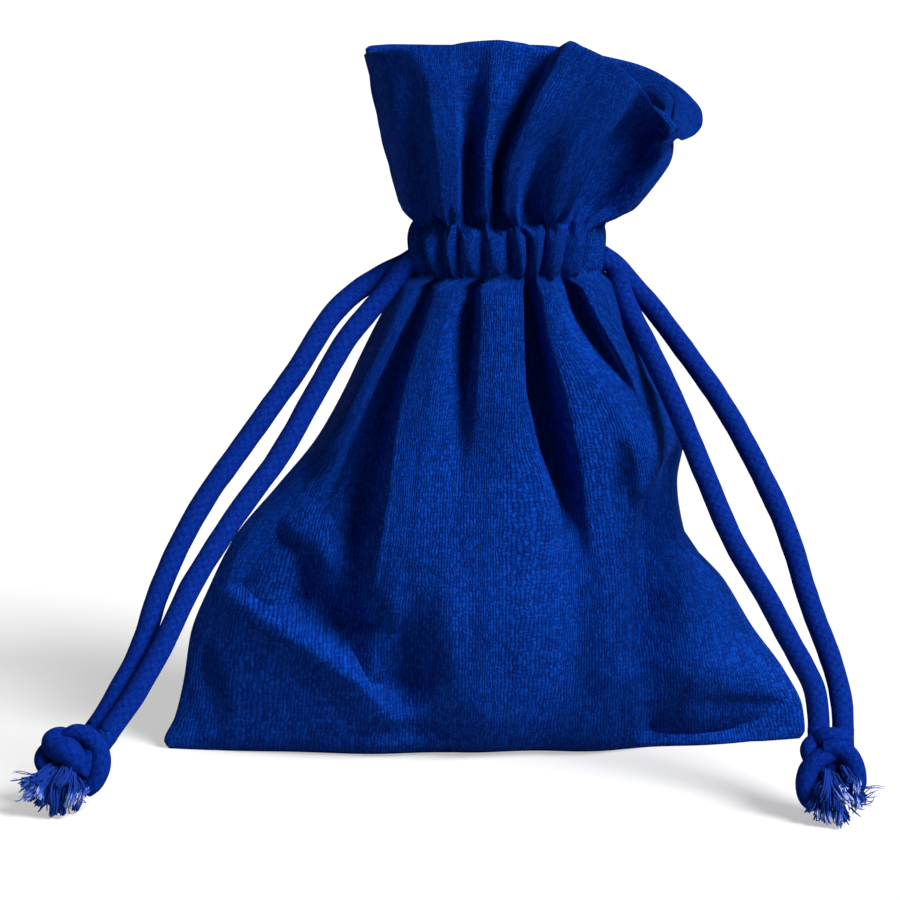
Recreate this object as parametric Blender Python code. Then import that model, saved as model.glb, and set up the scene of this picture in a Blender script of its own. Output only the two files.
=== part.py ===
"""A small kinchaku pouch of plain-weave cotton, standing with its neck drawn in.

The cloth is one folded and sewn sheet: a body that bellies out over a flat base, a gathered casing with a
tunnel right round it, and a header that flares above it. Two drawcords run round the tunnel. Both ends of
the first leave at the left and both ends of the second at the right, and each pair ends in a knot.

Metres. +X is the pouch's right in the front view, +Y is away from the viewer, +Z is up.
The origin is the middle of the bottom on the surface that the pouch stands on.
"""

import math

import bmesh
import bpy
import numpy as np
from mathutils import Matrix, Vector

# Cloth and cord
CLOTH = 0.0009
HEM = 0.0017
SEAM_ALLOWANCE = 0.0030
CORD_DIAMETER = 0.0033
SQUEEZED_CORD = 0.0026
CLEARANCE = 0.0003

# Body of the pouch: height, left edge, right edge, front depth and back depth of each section
BODY_SECTIONS = (
    (0.0000, -0.0498, 0.0500, 0.0045, 0.0045),
    (0.0012, -0.0506, 0.0508, 0.0072, 0.0068),
    (0.0050, -0.0489, 0.0504, 0.0112, 0.0105),
    (0.0110, -0.0474, 0.0475, 0.0145, 0.0138),
    (0.0185, -0.0462, 0.0421, 0.0170, 0.0168),
    (0.0260, -0.0432, 0.0378, 0.0182, 0.0180),
    (0.0340, -0.0391, 0.0330, 0.0184, 0.0182),
    (0.0420, -0.0324, 0.0312, 0.0178, 0.0174),
    (0.0490, -0.0266, 0.0306, 0.0168, 0.0162),
    (0.0560, -0.0225, 0.0270, 0.0156, 0.0146),
    (0.0625, -0.0192, 0.0236, 0.0142, 0.0134),
    (0.0680, -0.0158, 0.0208, 0.0130, 0.0124),
    (0.0720, -0.0138, 0.0192, 0.0120, 0.0116),
    (0.0744, -0.0131, 0.0188, 0.0112, 0.0108),
)
SEAM_SHARPNESS_AT_BASE = 1.9
ROUND_SECTION_HEIGHT = 0.066

# Casing and the tunnel in it
CASING_HEIGHT = 0.0794
NECK_MIDDLE = 0.0036
LOOP_HALF_WIDTH = 0.0125
LOOP_HALF_DEPTH = 0.0068
PUFF = 0.0013
INNER_PUCKER = 0.0005
PINCH_DEPTH = 0.0012
FRONT_GATHERS = (-0.0106, -0.0081, -0.0053, -0.0026, 0.0015, 0.0056, 0.0092, 0.0134, 0.0165)
BACK_GATHER_COUNT = 9
COLUMNS_PER_PUFF = 5

# Folds that run down from the gathers: route in x and z, half-width at each end, depth
FRONT_FOLDS = (
    (((-0.0082, 0.0762), (-0.0112, 0.0687), (-0.0145, 0.0630), (-0.0178, 0.0517), (-0.0197, 0.0330)),
     (0.0024, 0.0060), 0.0078),
    (((-0.0022, 0.0762), (-0.0033, 0.0686), (-0.0046, 0.0590)), (0.0017, 0.0014), 0.0042),
    (((0.0054, 0.0762), (0.0067, 0.0670), (0.0084, 0.0571), (0.0101, 0.0499), (0.0119, 0.0380)),
     (0.0022, 0.0052), 0.0078),
    (((0.0118, 0.0762), (0.0150, 0.0670), (0.0184, 0.0600)), (0.0019, 0.0022), 0.0048),
    (((-0.0053, 0.0762), (-0.0063, 0.0705)), (0.0014, 0.0008), 0.0030),
    (((0.0014, 0.0762), (0.0016, 0.0700)), (0.0014, 0.0008), 0.0028),
    (((0.0088, 0.0762), (0.0100, 0.0708)), (0.0015, 0.0008), 0.0032),
    (((0.0160, 0.0762), (0.0192, 0.0690)), (0.0015, 0.0010), 0.0030),
    (((-0.0106, 0.0762), (-0.0122, 0.0715)), (0.0012, 0.0008), 0.0022),
)
# Soft creases of the belly: route in x and z, half-width, depth
BELLY_CREASES = (
    (((-0.0440, 0.0385), (-0.0334, 0.0299), (-0.0204, 0.0237), (-0.0090, 0.0125)), 0.0055, 0.0024),
    (((-0.0130, 0.0300), (-0.0127, 0.0210), (-0.0125, 0.0110)), 0.0030, 0.0012),
    (((0.0300, 0.0450), (0.0258, 0.0420), (0.0234, 0.0300), (0.0232, 0.0100)), 0.0036, 0.0026),
    (((0.0120, 0.0360), (0.0125, 0.0250), (0.0118, 0.0130)), 0.0034, 0.0008),
)

# Folds of the back: how far down the long and the short ones run
BACK_FOLD_DEPTH = 0.0048
BACK_FOLD_HALF_WIDTH = 0.0020
LONG_BACK_FOLD = 0.0300
SHORT_BACK_FOLD = 0.0090

# Header: angle round the neck from the left seam, then a point of the middle line and of the rim
HEADER_LINES = (
    (0, (-0.0153, 0.0000, 0.0920), (-0.0188, 0.0000, 0.1090)),
    (35, (-0.0122, -0.0072, 0.0980), (-0.0150, -0.0066, 0.1104)),
    (62, (-0.0058, -0.0102, 0.0980), (-0.0072, -0.0102, 0.1108)),
    (86, (0.0020, -0.0104, 0.0980), (0.0018, -0.0108, 0.1113)),
    (108, (0.0090, -0.0112, 0.0980), (0.0098, -0.0122, 0.1112)),
    (128, (0.0150, -0.0108, 0.0975), (0.0178, -0.0118, 0.1088)),
    (148, (0.0210, -0.0078, 0.0970), (0.0242, -0.0093, 0.1026)),
    (166, (0.0253, -0.0039, 0.0985), (0.0286, -0.0058, 0.0975)),
    (182, (0.0270, 0.0000, 0.0998), (0.0321, -0.0009, 0.0959)),
    (198, (0.0263, 0.0040, 0.0995), (0.0343, 0.0047, 0.0990)),
    (216, (0.0214, 0.0078, 0.0980), (0.0322, 0.0090, 0.1040)),
    (240, (0.0137, 0.0100, 0.0973), (0.0243, 0.0111, 0.1071)),
    (270, (0.0036, 0.0104, 0.0970), (0.0068, 0.0112, 0.1084)),
    (305, (-0.0075, 0.0092, 0.0970), (-0.0075, 0.0096, 0.1088)),
    (335, (-0.0130, 0.0050, 0.0950), (-0.0155, 0.0056, 0.1090)),
)
HEADER_STEPS = (0.09, 0.22, 0.40, 0.60, 0.80, 0.94, 1.0)
HEADER_FOLDS = (
    (((-0.0090, 0.0835), (-0.0105, 0.1010)), (0.0016, 0.0030), 0.0016),
    (((-0.0032, 0.0835), (-0.0026, 0.0930), (-0.0013, 0.1080)), (0.0018, 0.0022), 0.0046),
    (((0.0012, 0.0835), (0.0028, 0.0929), (0.0050, 0.0994), (0.0085, 0.1090)), (0.0016, 0.0024), 0.0048),
    (((0.0062, 0.0835), (0.0100, 0.0960)), (0.0014, 0.0020), 0.0018),
    (((0.0138, 0.0835), (0.0160, 0.0920), (0.0188, 0.1030)), (0.0018, 0.0030), 0.0052),
)
BACK_HEADER_FOLD_COUNT = 5
BACK_HEADER_FOLD_DEPTH = 0.0036
BACK_HEADER_FOLD_HALF_WIDTH = 0.0024

# Routes of the free cord ends, from the casing to the knot
EXIT_SPREAD = 0.0034
LEFT_OUTER_ROUTE = (
    (-0.0176, 0.0012, 0.0737), (-0.0225, -0.0014, 0.0704), (-0.0294, -0.0072, 0.0614),
    (-0.0369, -0.0122, 0.0519), (-0.0447, -0.0172, 0.0417), (-0.0512, -0.0228, 0.0291),
    (-0.0536, -0.0256, 0.0221), (-0.0570, -0.0284, 0.0163),
)
LEFT_INNER_ROUTE = (
    (-0.0162, -0.0026, 0.0717), (-0.0208, -0.0052, 0.0670), (-0.0266, -0.0096, 0.0584),
    (-0.0319, -0.0136, 0.0499), (-0.0393, -0.0186, 0.0407), (-0.0453, -0.0234, 0.0323),
    (-0.0512, -0.0286, 0.0216), (-0.0546, -0.0312, 0.0163),
)
RIGHT_OUTER_ROUTE = (
    (0.0249, 0.0004, 0.0704), (0.0305, -0.0052, 0.0631), (0.0347, -0.0094, 0.0572),
    (0.0400, -0.0162, 0.0477), (0.0440, -0.0224, 0.0385), (0.0467, -0.0290, 0.0286),
    (0.0482, -0.0322, 0.0241), (0.0494, -0.0350, 0.0203), (0.0500, -0.0380, 0.0170),
)
RIGHT_INNER_ROUTE = (
    (0.0211, -0.0026, 0.0712), (0.0244, -0.0074, 0.0643), (0.0279, -0.0124, 0.0566),
    (0.0319, -0.0190, 0.0465), (0.0356, -0.0254, 0.0374), (0.0403, -0.0314, 0.0293),
    (0.0424, -0.0340, 0.0252), (0.0446, -0.0368, 0.0211), (0.0462, -0.0390, 0.0172),
)

# Knots: middle, the way that both cords arrive, and the heading of the frayed ends in degrees from +X
LEFT_KNOT = (-0.0635, -0.0345, 0.0060)
LEFT_ARRIVAL = (-0.57, -0.34, -0.74)
LEFT_TUFT_HEADING = 228
RIGHT_KNOT = (0.0478, -0.0448, 0.0060)
RIGHT_ARRIVAL = (-0.05, -0.47, -0.88)
RIGHT_TUFT_HEADING = 283
KNOT_CORE = 0.0042
KNOT_TURN = 0.0034
KNOT_TURN_TILTS = ((0, 12), (55, 66))
KNOT_STUB = 0.0068
TUFT_LENGTH = 0.0095
TUFT_RADIUS = 0.0034
TUFT_DROOP = 14

COTTON_BLUE = (0.006, 0.047, 0.262, 1.0)
CORD_BLUE = (0.006, 0.040, 0.240, 1.0)

TUNNEL_WIDTH = SQUEEZED_CORD + 2 * CLEARANCE
TUNNEL_HEIGHT = 2 * SQUEEZED_CORD + 3 * CLEARANCE
CORD_LEVEL = (SQUEEZED_CORD + CLEARANCE) / 2
CASING_HALF = TUNNEL_HEIGHT / 2 + CLOTH
OUTER_OFFSET = TUNNEL_WIDTH / 2 + CLOTH
INNER_OFFSET = -(TUNNEL_WIDTH / 2 + CLOTH)


def clear_scene():
    for obj in list(bpy.data.objects):
        bpy.data.objects.remove(obj, do_unlink=True)


def material(name, colour, roughness):
    made = bpy.data.materials.new(name)
    made.use_nodes = True
    shader = made.node_tree.nodes["Principled BSDF"]
    shader.inputs["Base Color"].default_value = colour
    shader.inputs["Roughness"].default_value = roughness
    shader.inputs["Metallic"].default_value = 0.0
    return made


def smooth_through(places, values, at):
    """Values of a smooth curve through the given points, with no overshoot worth naming (cubic Hermite)."""
    places = np.asarray(places, float)
    values = np.asarray(values, float)
    slopes = np.gradient(values, places, axis=0)
    at = np.clip(at, places[0], places[-1])
    index = np.clip(np.searchsorted(places, at) - 1, 0, len(places) - 2)
    span = places[index + 1] - places[index]
    u = (at - places[index]) / span
    if values.ndim > 1:
        span, u = span[..., None], u[..., None]
    return (
        (2 * u**3 - 3 * u**2 + 1) * values[index]
        + (u**3 - 2 * u**2 + u) * span * slopes[index]
        + (3 * u**2 - 2 * u**3) * values[index + 1]
        + (u**3 - u**2) * span * slopes[index + 1]
    )


def smooth_route(points, count):
    """Evenly spaced points along a smooth curve through the route's points."""
    points = np.asarray(points, float)
    along = np.concatenate([[0], np.cumsum(np.linalg.norm(np.diff(points, axis=0), axis=1))])
    fine = smooth_through(along, points, np.linspace(0, along[-1], 12 * count))
    length = np.concatenate([[0], np.cumsum(np.linalg.norm(np.diff(fine, axis=0), axis=1))])
    even = np.linspace(0, length[-1], count)
    return np.stack([np.interp(even, length, axis) for axis in fine.T], axis=1)


def distance_to_route(x, z, route):
    """Distance of each point from the route in the front view, and how far along the route it is nearest."""
    line = smooth_route(route, 14)
    start, step = line[:-1], np.diff(line, axis=0)
    to_point = np.stack([x, z], axis=-1)[:, None, :] - start
    share = np.clip((to_point * step).sum(-1) / (step**2).sum(-1), 0, 1)
    gap = np.linalg.norm(to_point - share[..., None] * step, axis=-1)
    nearest = gap.argmin(axis=1)
    rows = np.arange(len(x))
    return gap[rows, nearest], (nearest + share[rows, nearest]) / len(step)


def fold_depth(x, z, folds):
    """Depth of the folds that start at the gathers: sharp in the valley, and fading out at the far end."""
    depth = np.zeros_like(x)
    for route, (near_width, far_width), full in folds:
        gap, along = distance_to_route(x, z, route)
        width = near_width + (far_width - near_width) * along
        valley = np.clip(1 - gap / width, 0, 1) ** 1.3
        depth = np.maximum(depth, full * valley * (1 - along**2.2))
    return depth


def crease_depth(x, z, creases):
    """Depth of the soft creases, which fade out at both ends."""
    depth = np.zeros_like(x)
    for route, width, full in creases:
        gap, along = distance_to_route(x, z, route)
        near = np.clip(1 - gap / width, 0, 1)
        depth += full * near**2 * (3 - 2 * near) * np.sin(np.pi * np.clip(along, 0.02, 0.98)) ** 0.6
    return depth


def gather_angles():
    """Angles round the neck of the valleys between puffs, from the left seam over the front to the back."""
    half_width = LOOP_HALF_WIDTH + OUTER_OFFSET
    front = [math.asin((x - NECK_MIDDLE) / half_width) for x in FRONT_GATHERS]
    back = [math.pi / 2 + math.pi * (k + 1) / (BACK_GATHER_COUNT + 1) for k in range(BACK_GATHER_COUNT)]
    return np.array([-math.pi / 2, *front, math.pi / 2, *back, 3 * math.pi / 2])


def column_angles():
    """One column of the cloth at each valley, and the same number of columns across each puff."""
    valleys = gather_angles()
    shares = np.arange(COLUMNS_PER_PUFF) / COLUMNS_PER_PUFF
    return (valleys[:-1, None] + np.diff(valleys)[:, None] * shares).ravel()


def puff_profile(angle):
    valleys = gather_angles()
    index = np.clip(np.searchsorted(valleys, angle, side="right") - 1, 0, len(valleys) - 2)
    share = (angle - valleys[index]) / (valleys[index + 1] - valleys[index])
    return np.sqrt(np.sin(np.pi * np.clip(share, 0, 1)))


def front_share(angle):
    """1 on the front panel and 0 on the back panel, with a short change at the seams."""
    return np.clip(np.cos(angle) / 0.22, 0, 1)


def back_fold_angles(count):
    return [math.pi / 2 + math.pi * (k + 0.5) / count for k in range(count)]


def body_base(angle, height, inset=0.0, seam=0.0):
    """The body's section at a height with no folds in it."""
    heights = [row[0] for row in BODY_SECTIONS]
    left, right, front, back = smooth_through(heights, [row[1:] for row in BODY_SECTIONS], height)
    sharpness = 1 + (SEAM_SHARPNESS_AT_BASE - 1) * max(0.0, 1 - height / ROUND_SECTION_HEIGHT)
    reach = np.abs(np.cos(angle)) ** sharpness
    depth = np.where(np.cos(angle) > 0, -(front - inset), back - inset)
    x = (left + right) / 2 + ((right - left) / 2 - seam) * np.sin(angle)
    return np.stack([x, depth * reach, np.full_like(x, height)], axis=-1)


def body_folds(angle, height):
    base = body_base(angle, height)
    x, z = base[:, 0], base[:, 2]
    front = fold_depth(x, z, FRONT_FOLDS) + crease_depth(x, z, BELLY_CREASES)
    depth = front_share(angle) * front
    top = BODY_SECTIONS[-1][0]
    for k, fold in enumerate(back_fold_angles(BACK_GATHER_COUNT)):
        run = LONG_BACK_FOLD if k % 2 else SHORT_BACK_FOLD
        sunk = np.clip(1 - (top - height) / run, 0, 1) ** 0.7
        half_width = BACK_FOLD_HALF_WIDTH * (2 - sunk)
        here = body_base(np.array([fold]), height)[0, 0]
        valley = np.clip(1 - np.abs(x - here) / half_width, 0, 1) ** 1.3
        depth += front_share(angle + math.pi) * BACK_FOLD_DEPTH * sunk * valley
    return depth


def outward(angle):
    return np.stack([np.sin(angle), -np.cos(angle), np.zeros_like(angle)], axis=-1)


def body_row(angle, height):
    return body_base(angle, height) - body_folds(angle, height)[:, None] * outward(angle)


def inner_body_row(angle, height):
    share = min(1.0, height / ROUND_SECTION_HEIGHT)
    seam = SEAM_ALLOWANCE + (CLOTH - SEAM_ALLOWANCE) * share
    base = body_base(angle, height, inset=CLOTH, seam=seam)
    return base - body_folds(angle, height)[:, None] * outward(angle)


def loop_row(angle, offset, height):
    """The drawcord's loop round the neck, moved out from its middle line by the offset."""
    x = LOOP_HALF_WIDTH * np.sin(angle)
    y = -LOOP_HALF_DEPTH * np.cos(angle)
    normal = np.stack([LOOP_HALF_DEPTH * np.sin(angle), -LOOP_HALF_WIDTH * np.cos(angle)], axis=-1)
    normal /= np.linalg.norm(normal, axis=-1)[:, None]
    offset = np.broadcast_to(offset, x.shape)[:, None]
    flat = np.stack([x + NECK_MIDDLE, y], axis=-1) + offset * normal
    return np.column_stack([flat, np.full(len(x), height)])


def casing_rows(angle):
    """Puffs between a pinched row of stitches below and one above."""
    puff = puff_profile(angle)
    away_from_seams = np.clip((1 - np.abs(np.sin(angle))) / 0.03, 0, 1)
    pinch = OUTER_OFFSET + (0.35 * PUFF * puff - PINCH_DEPTH * (1 - puff)) * away_from_seams
    full = OUTER_OFFSET + PUFF * puff
    half = TUNNEL_HEIGHT / 2
    return [
        loop_row(angle, pinch, CASING_HEIGHT - CASING_HALF),
        loop_row(angle, 0.25 * pinch + 0.75 * full, CASING_HEIGHT - 0.8 * half),
        loop_row(angle, full, CASING_HEIGHT),
        loop_row(angle, 0.25 * pinch + 0.75 * full, CASING_HEIGHT + 0.8 * half),
        loop_row(angle, pinch, CASING_HEIGHT + CASING_HALF),
    ]


def inner_casing_rows(angle):
    pucker = INNER_OFFSET - INNER_PUCKER * puff_profile(angle)
    floor = CASING_HEIGHT - CASING_HALF - 0.2 * CLOTH
    return [
        loop_row(angle, INNER_OFFSET, floor),
        loop_row(angle, pucker, CASING_HEIGHT),
        loop_row(angle, INNER_OFFSET, CASING_HEIGHT + CASING_HALF),
    ]


def header_base(angle, share):
    """A point of the header, from its foot at the casing to its rim, along a curve that flares outwards."""
    places = [math.radians(row[0] - 90) for row in HEADER_LINES]
    closed = places + [places[0] + 2 * math.pi]
    middle = smooth_through(closed, [row[1] for row in HEADER_LINES] + [HEADER_LINES[0][1]], angle)
    rim = smooth_through(closed, [row[2] for row in HEADER_LINES] + [HEADER_LINES[0][2]], angle)
    foot = loop_row(angle, OUTER_OFFSET, CASING_HEIGHT + CASING_HALF)
    return (1 - share) ** 2 * foot + 2 * share * (1 - share) * middle + share**2 * rim


def header_folds(angle, share):
    base = header_base(angle, share)
    depth = front_share(angle) * fold_depth(base[:, 0], base[:, 2], HEADER_FOLDS)
    for fold in back_fold_angles(BACK_HEADER_FOLD_COUNT):
        here = header_base(np.array([fold]), share)[0, 0]
        valley = np.clip(1 - np.abs(base[:, 0] - here) / BACK_HEADER_FOLD_HALF_WIDTH, 0, 1) ** 1.3
        depth += front_share(angle + math.pi) * BACK_HEADER_FOLD_DEPTH * (1 - 0.5 * share) * valley
    return depth * min(1.0, share / HEADER_STEPS[1])


def header_row(angle, share, inset=0.0):
    return header_base(angle, share) - (header_folds(angle, share) + inset)[:, None] * outward(angle)


def skin(builder, rows):
    """Joins closed rows of points with quads, and returns the rows as vertices."""
    made = [[builder.verts.new(point) for point in row] for row in rows]
    for low, high in zip(made, made[1:]):
        for j in range(len(low)):
            k = (j + 1) % len(low)
            builder.faces.new((low[j], low[k], high[k], high[j]))
    return made


def mesh_object(name, builder, finish=None):
    bmesh.ops.recalc_face_normals(builder, faces=builder.faces[:])
    mesh = bpy.data.meshes.new(name)
    builder.to_mesh(mesh)
    builder.free()
    made = bpy.data.objects.new(name, mesh)
    bpy.context.scene.collection.objects.link(made)
    if finish:
        mesh.materials.append(finish)
        mesh.shade_smooth()
    return made


def pouch_cloth(finish):
    """One closed wall: the outer skin, the rim, the inner skin and the two layers of the base."""
    angle = column_angles()
    heights = [row[0] for row in BODY_SECTIONS]
    outer = [body_row(angle, height) for height in heights] + casing_rows(angle)
    outer += [header_row(angle, share) for share in HEADER_STEPS]
    inner = [inner_body_row(angle, max(height, CLOTH)) for height in heights if height != heights[1]]
    inner += inner_casing_rows(angle)
    inner += [header_row(angle, share, HEM) for share in HEADER_STEPS]
    builder = bmesh.new()
    wall = skin(builder, outer + inner[::-1])
    builder.faces.new(wall[0])
    builder.faces.new(wall[-1])
    bmesh.ops.triangulate(builder, faces=[face for face in builder.faces if len(face.verts) > 4])
    cloth = mesh_object("pouch_cloth", builder, finish)
    cut(cloth, tunnel_cutter())
    for side in (-1, 1):
        cut(cloth, exit_cutter(side))
    return cloth


def boolean(body, tool, operation):
    tool.hide_render = True
    tool.display_type = "WIRE"
    modifier = body.modifiers.new(tool.name, "BOOLEAN")
    modifier.operation = operation
    modifier.solver = "EXACT"
    modifier.object = tool


def cut(body, tool):
    boolean(body, tool, "DIFFERENCE")


def join(body, tool):
    boolean(body, tool, "UNION")


def tunnel_cutter():
    """The channel that both drawcords share: as wide as a cord and as tall as two, with round corners."""
    angle = np.linspace(-math.pi / 2, 1.5 * math.pi, 40, endpoint=False)
    corner = TUNNEL_WIDTH / 2
    straight = TUNNEL_HEIGHT / 2 - corner
    rows = []
    for turn in np.radians(np.arange(22.5, 360, 45)):
        level = CASING_HEIGHT + math.copysign(straight, math.sin(turn)) + corner * math.sin(turn)
        rows.append(loop_row(angle, corner * math.cos(turn), level))
    builder = bmesh.new()
    skin(builder, rows + rows[:1])
    bmesh.ops.remove_doubles(builder, verts=builder.verts[:], dist=CLEARANCE / 10)
    return mesh_object("tunnel_cutter", builder)


def exit_cutter(side):
    """The slit in a side seam through which both ends of one drawcord leave."""
    inner = NECK_MIDDLE + side * LOOP_HALF_WIDTH
    outer = NECK_MIDDLE + side * (LOOP_HALF_WIDTH + OUTER_OFFSET + PUFF + HEM)
    half_width = EXIT_SPREAD / 2 + SQUEEZED_CORD / 2 + 2 * CLEARANCE
    size = Vector((abs(outer - inner), 2 * half_width, TUNNEL_HEIGHT * 0.96))
    place = Vector(((inner + outer) / 2, 0, CASING_HEIGHT))
    builder = bmesh.new()
    bmesh.ops.create_cube(builder, size=1.0, matrix=Matrix.LocRotScale(place, None, size))
    upright = [edge for edge in builder.edges if abs((edge.verts[0].co - edge.verts[1].co).x) > size.x / 2]
    bmesh.ops.bevel(builder, geom=upright, offset=SQUEEZED_CORD / 3, segments=2, affect="EDGES")
    return mesh_object(("left" if side < 0 else "right") + "_exit_cutter", builder)


def cord(name, points, diameter, finish):
    curve = bpy.data.curves.new(name, "CURVE")
    curve.dimensions = "3D"
    curve.bevel_depth = diameter / 2
    curve.bevel_resolution = 2
    curve.use_fill_caps = True
    spline = curve.splines.new("POLY")
    spline.points.add(len(points) - 1)
    for slot, point in zip(spline.points, points):
        slot.co = (*point, 1.0)
    spline.use_smooth = True
    curve.materials.append(finish)
    made = bpy.data.objects.new(name, curve)
    bpy.context.scene.collection.objects.link(made)
    return made


def mouth(side):
    """Where a drawcord comes clear of the puffs beside its exit."""
    return NECK_MIDDLE + side * (LOOP_HALF_WIDTH + OUTER_OFFSET + PUFF)


def cord_in_casing(name, side, level, finish):
    """One drawcord's hidden run: in at its own side, once round the neck, and out beside its start."""
    turn_in = 0.30
    angle = np.linspace(-math.pi / 2 + turn_in, 1.5 * math.pi - turn_in, 24)
    loop = loop_row(angle, 0.0, level)
    bend = NECK_MIDDLE - LOOP_HALF_WIDTH - 0.45 * OUTER_OFFSET
    front = [(mouth(-1), -EXIT_SPREAD / 2, level), (bend, -EXIT_SPREAD / 2, level)]
    back = [(bend, EXIT_SPREAD / 2, level), (mouth(-1), EXIT_SPREAD / 2, level)]
    points = np.array([*front, *loop, *back])
    if side > 0:
        points[:, 0] = 2 * NECK_MIDDLE - points[:, 0]
    return cord(name, smooth_route(points, 34), SQUEEZED_CORD, finish)


def turned(axis, degrees):
    return Matrix.Rotation(math.radians(degrees), 4, axis)


def knot_frame(side, arrival):
    """Turns a knot's own axes: -Z is the way that the cords arrive, and X is level and to its side."""
    up = -Vector(arrival).normalized()
    sideways = up.cross(Vector((0, 0, 1))).normalized()
    if sideways.x * side < 0:
        sideways.negate()
    return Matrix((sideways, up.cross(sideways), up)).transposed()


def knot_entry(side, middle, arrival, end, away):
    """The middle line of one of the two cords at a distance from the knot's middle."""
    place = Vector((end * (CORD_DIAMETER + CLEARANCE) / 2, 0, away))
    return np.array(Vector(middle) + knot_frame(side, arrival) @ place)


def free_cord(name, side, end, level, route, middle, arrival, finish):
    """A free end of a drawcord, from the mouth of its exit to the stub that enters its knot."""
    start = (mouth(side) + side * CLEARANCE, end * EXIT_SPREAD / 2, level)
    lead = (start[0] + side * CORD_DIAMETER / 2, start[1], level)
    last = knot_entry(side, middle, arrival, end, KNOT_STUB + CLEARANCE)
    before = knot_entry(side, middle, arrival, end, KNOT_STUB + CLEARANCE + CORD_DIAMETER / 2)
    return cord(name, [start, *smooth_route([lead, *route, before], 19), last], CORD_DIAMETER, finish)


def ring_builder(major, minor, around, across):
    """A round ring about Z."""
    builder = bmesh.new()
    lap = np.linspace(0, 2 * math.pi, around, endpoint=False)
    rows = []
    for turn in np.linspace(0, 2 * math.pi, across, endpoint=False):
        reach = major + minor * math.cos(turn)
        level = np.full(around, minor * math.sin(turn))
        rows.append(np.column_stack([reach * np.cos(lap), reach * np.sin(lap), level]))
    skin(builder, rows + rows[:1])
    bmesh.ops.remove_doubles(builder, verts=builder.verts[:], dist=CLEARANCE / 10)
    return builder


def cone_builder(near, far, length, sides):
    """A round bar along Z from the origin, wider or narrower at its far end."""
    builder = bmesh.new()
    bmesh.ops.create_cone(
        builder, cap_ends=True, segments=sides, radius1=near, radius2=far, depth=length,
        matrix=Matrix.Translation((0, 0, length / 2)),
    )
    return builder


def knot(name, side, middle, arrival, heading, finish):
    """An overhand knot of both ends: turns round a core, two stubs where the cords enter, and a tuft."""
    builder = bmesh.new()
    bmesh.ops.create_uvsphere(builder, u_segments=12, v_segments=8, radius=KNOT_CORE)
    made = mesh_object(name, builder, finish)
    made.location = middle
    arriving = knot_frame(side, arrival).to_4x4()
    place = Matrix.Translation(middle)
    pieces = []
    for spin, tilt in KNOT_TURN_TILTS:
        tipped = place @ arriving @ turned("Z", spin) @ turned("X", tilt)
        pieces.append((ring_builder(KNOT_TURN, CORD_DIAMETER / 2 + CLEARANCE, 14, 8), tipped))
    for end in (-1, 1):
        entry = Matrix.Translation(knot_entry(side, middle, arrival, end, 0))
        pieces.append((cone_builder(CORD_DIAMETER / 2, CORD_DIAMETER / 2, KNOT_STUB, 10), entry @ arriving))
    lean = turned("Z", heading) @ turned("Y", 90 + TUFT_DROOP)
    pieces.append((cone_builder(CORD_DIAMETER / 2, TUFT_RADIUS, TUFT_LENGTH, 14), place @ lean))
    for k, (builder, matrix) in enumerate(pieces):
        builder.transform(matrix)
        join(made, mesh_object(f"{name}_piece_{k}", builder))
    return made


def main():
    clear_scene()
    cotton = material("blue_cotton_cloth", COTTON_BLUE, 0.9)
    braid = material("blue_cotton_cord", CORD_BLUE, 0.85)
    pouch_cloth(cotton)
    low, high = CASING_HEIGHT - CORD_LEVEL, CASING_HEIGHT + CORD_LEVEL
    cord_in_casing("left_cord_in_casing", -1, low, braid)
    cord_in_casing("right_cord_in_casing", 1, high, braid)
    free_cord("left_cord_outer", -1, 1, low, LEFT_OUTER_ROUTE, LEFT_KNOT, LEFT_ARRIVAL, braid)
    free_cord("left_cord_inner", -1, -1, low, LEFT_INNER_ROUTE, LEFT_KNOT, LEFT_ARRIVAL, braid)
    free_cord("right_cord_outer", 1, 1, high, RIGHT_OUTER_ROUTE, RIGHT_KNOT, RIGHT_ARRIVAL, braid)
    free_cord("right_cord_inner", 1, -1, high, RIGHT_INNER_ROUTE, RIGHT_KNOT, RIGHT_ARRIVAL, braid)
    knot("left_knot", -1, LEFT_KNOT, LEFT_ARRIVAL, LEFT_TUFT_HEADING, braid)
    knot("right_knot", 1, RIGHT_KNOT, RIGHT_ARRIVAL, RIGHT_TUFT_HEADING, braid)


main()
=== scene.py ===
"""The look of the drawstring pouch: cloth with its folds and weave, braided cords, tied knots, floor and light."""

import math

import bmesh
import bpy
import numpy as np
from mathutils import Matrix, Vector


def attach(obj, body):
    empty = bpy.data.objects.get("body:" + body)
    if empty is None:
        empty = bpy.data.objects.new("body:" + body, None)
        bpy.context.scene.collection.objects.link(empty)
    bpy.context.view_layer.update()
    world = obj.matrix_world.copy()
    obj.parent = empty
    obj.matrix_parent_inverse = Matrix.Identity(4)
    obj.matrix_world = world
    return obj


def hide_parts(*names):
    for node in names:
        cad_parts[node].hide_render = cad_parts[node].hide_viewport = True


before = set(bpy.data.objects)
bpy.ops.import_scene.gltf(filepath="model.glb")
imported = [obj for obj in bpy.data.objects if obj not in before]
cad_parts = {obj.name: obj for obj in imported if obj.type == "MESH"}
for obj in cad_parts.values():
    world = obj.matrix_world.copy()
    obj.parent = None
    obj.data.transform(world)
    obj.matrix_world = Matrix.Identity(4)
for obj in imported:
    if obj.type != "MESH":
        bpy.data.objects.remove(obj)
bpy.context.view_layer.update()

MM = 0.001

# Camera, in millimetres
CAMERA_PLACE = (-41.8, -591.9, 159.0)
CAMERA_TARGET = (-5.6, 0.0, 47.2)
CAMERA_LENS = 155.2

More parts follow.
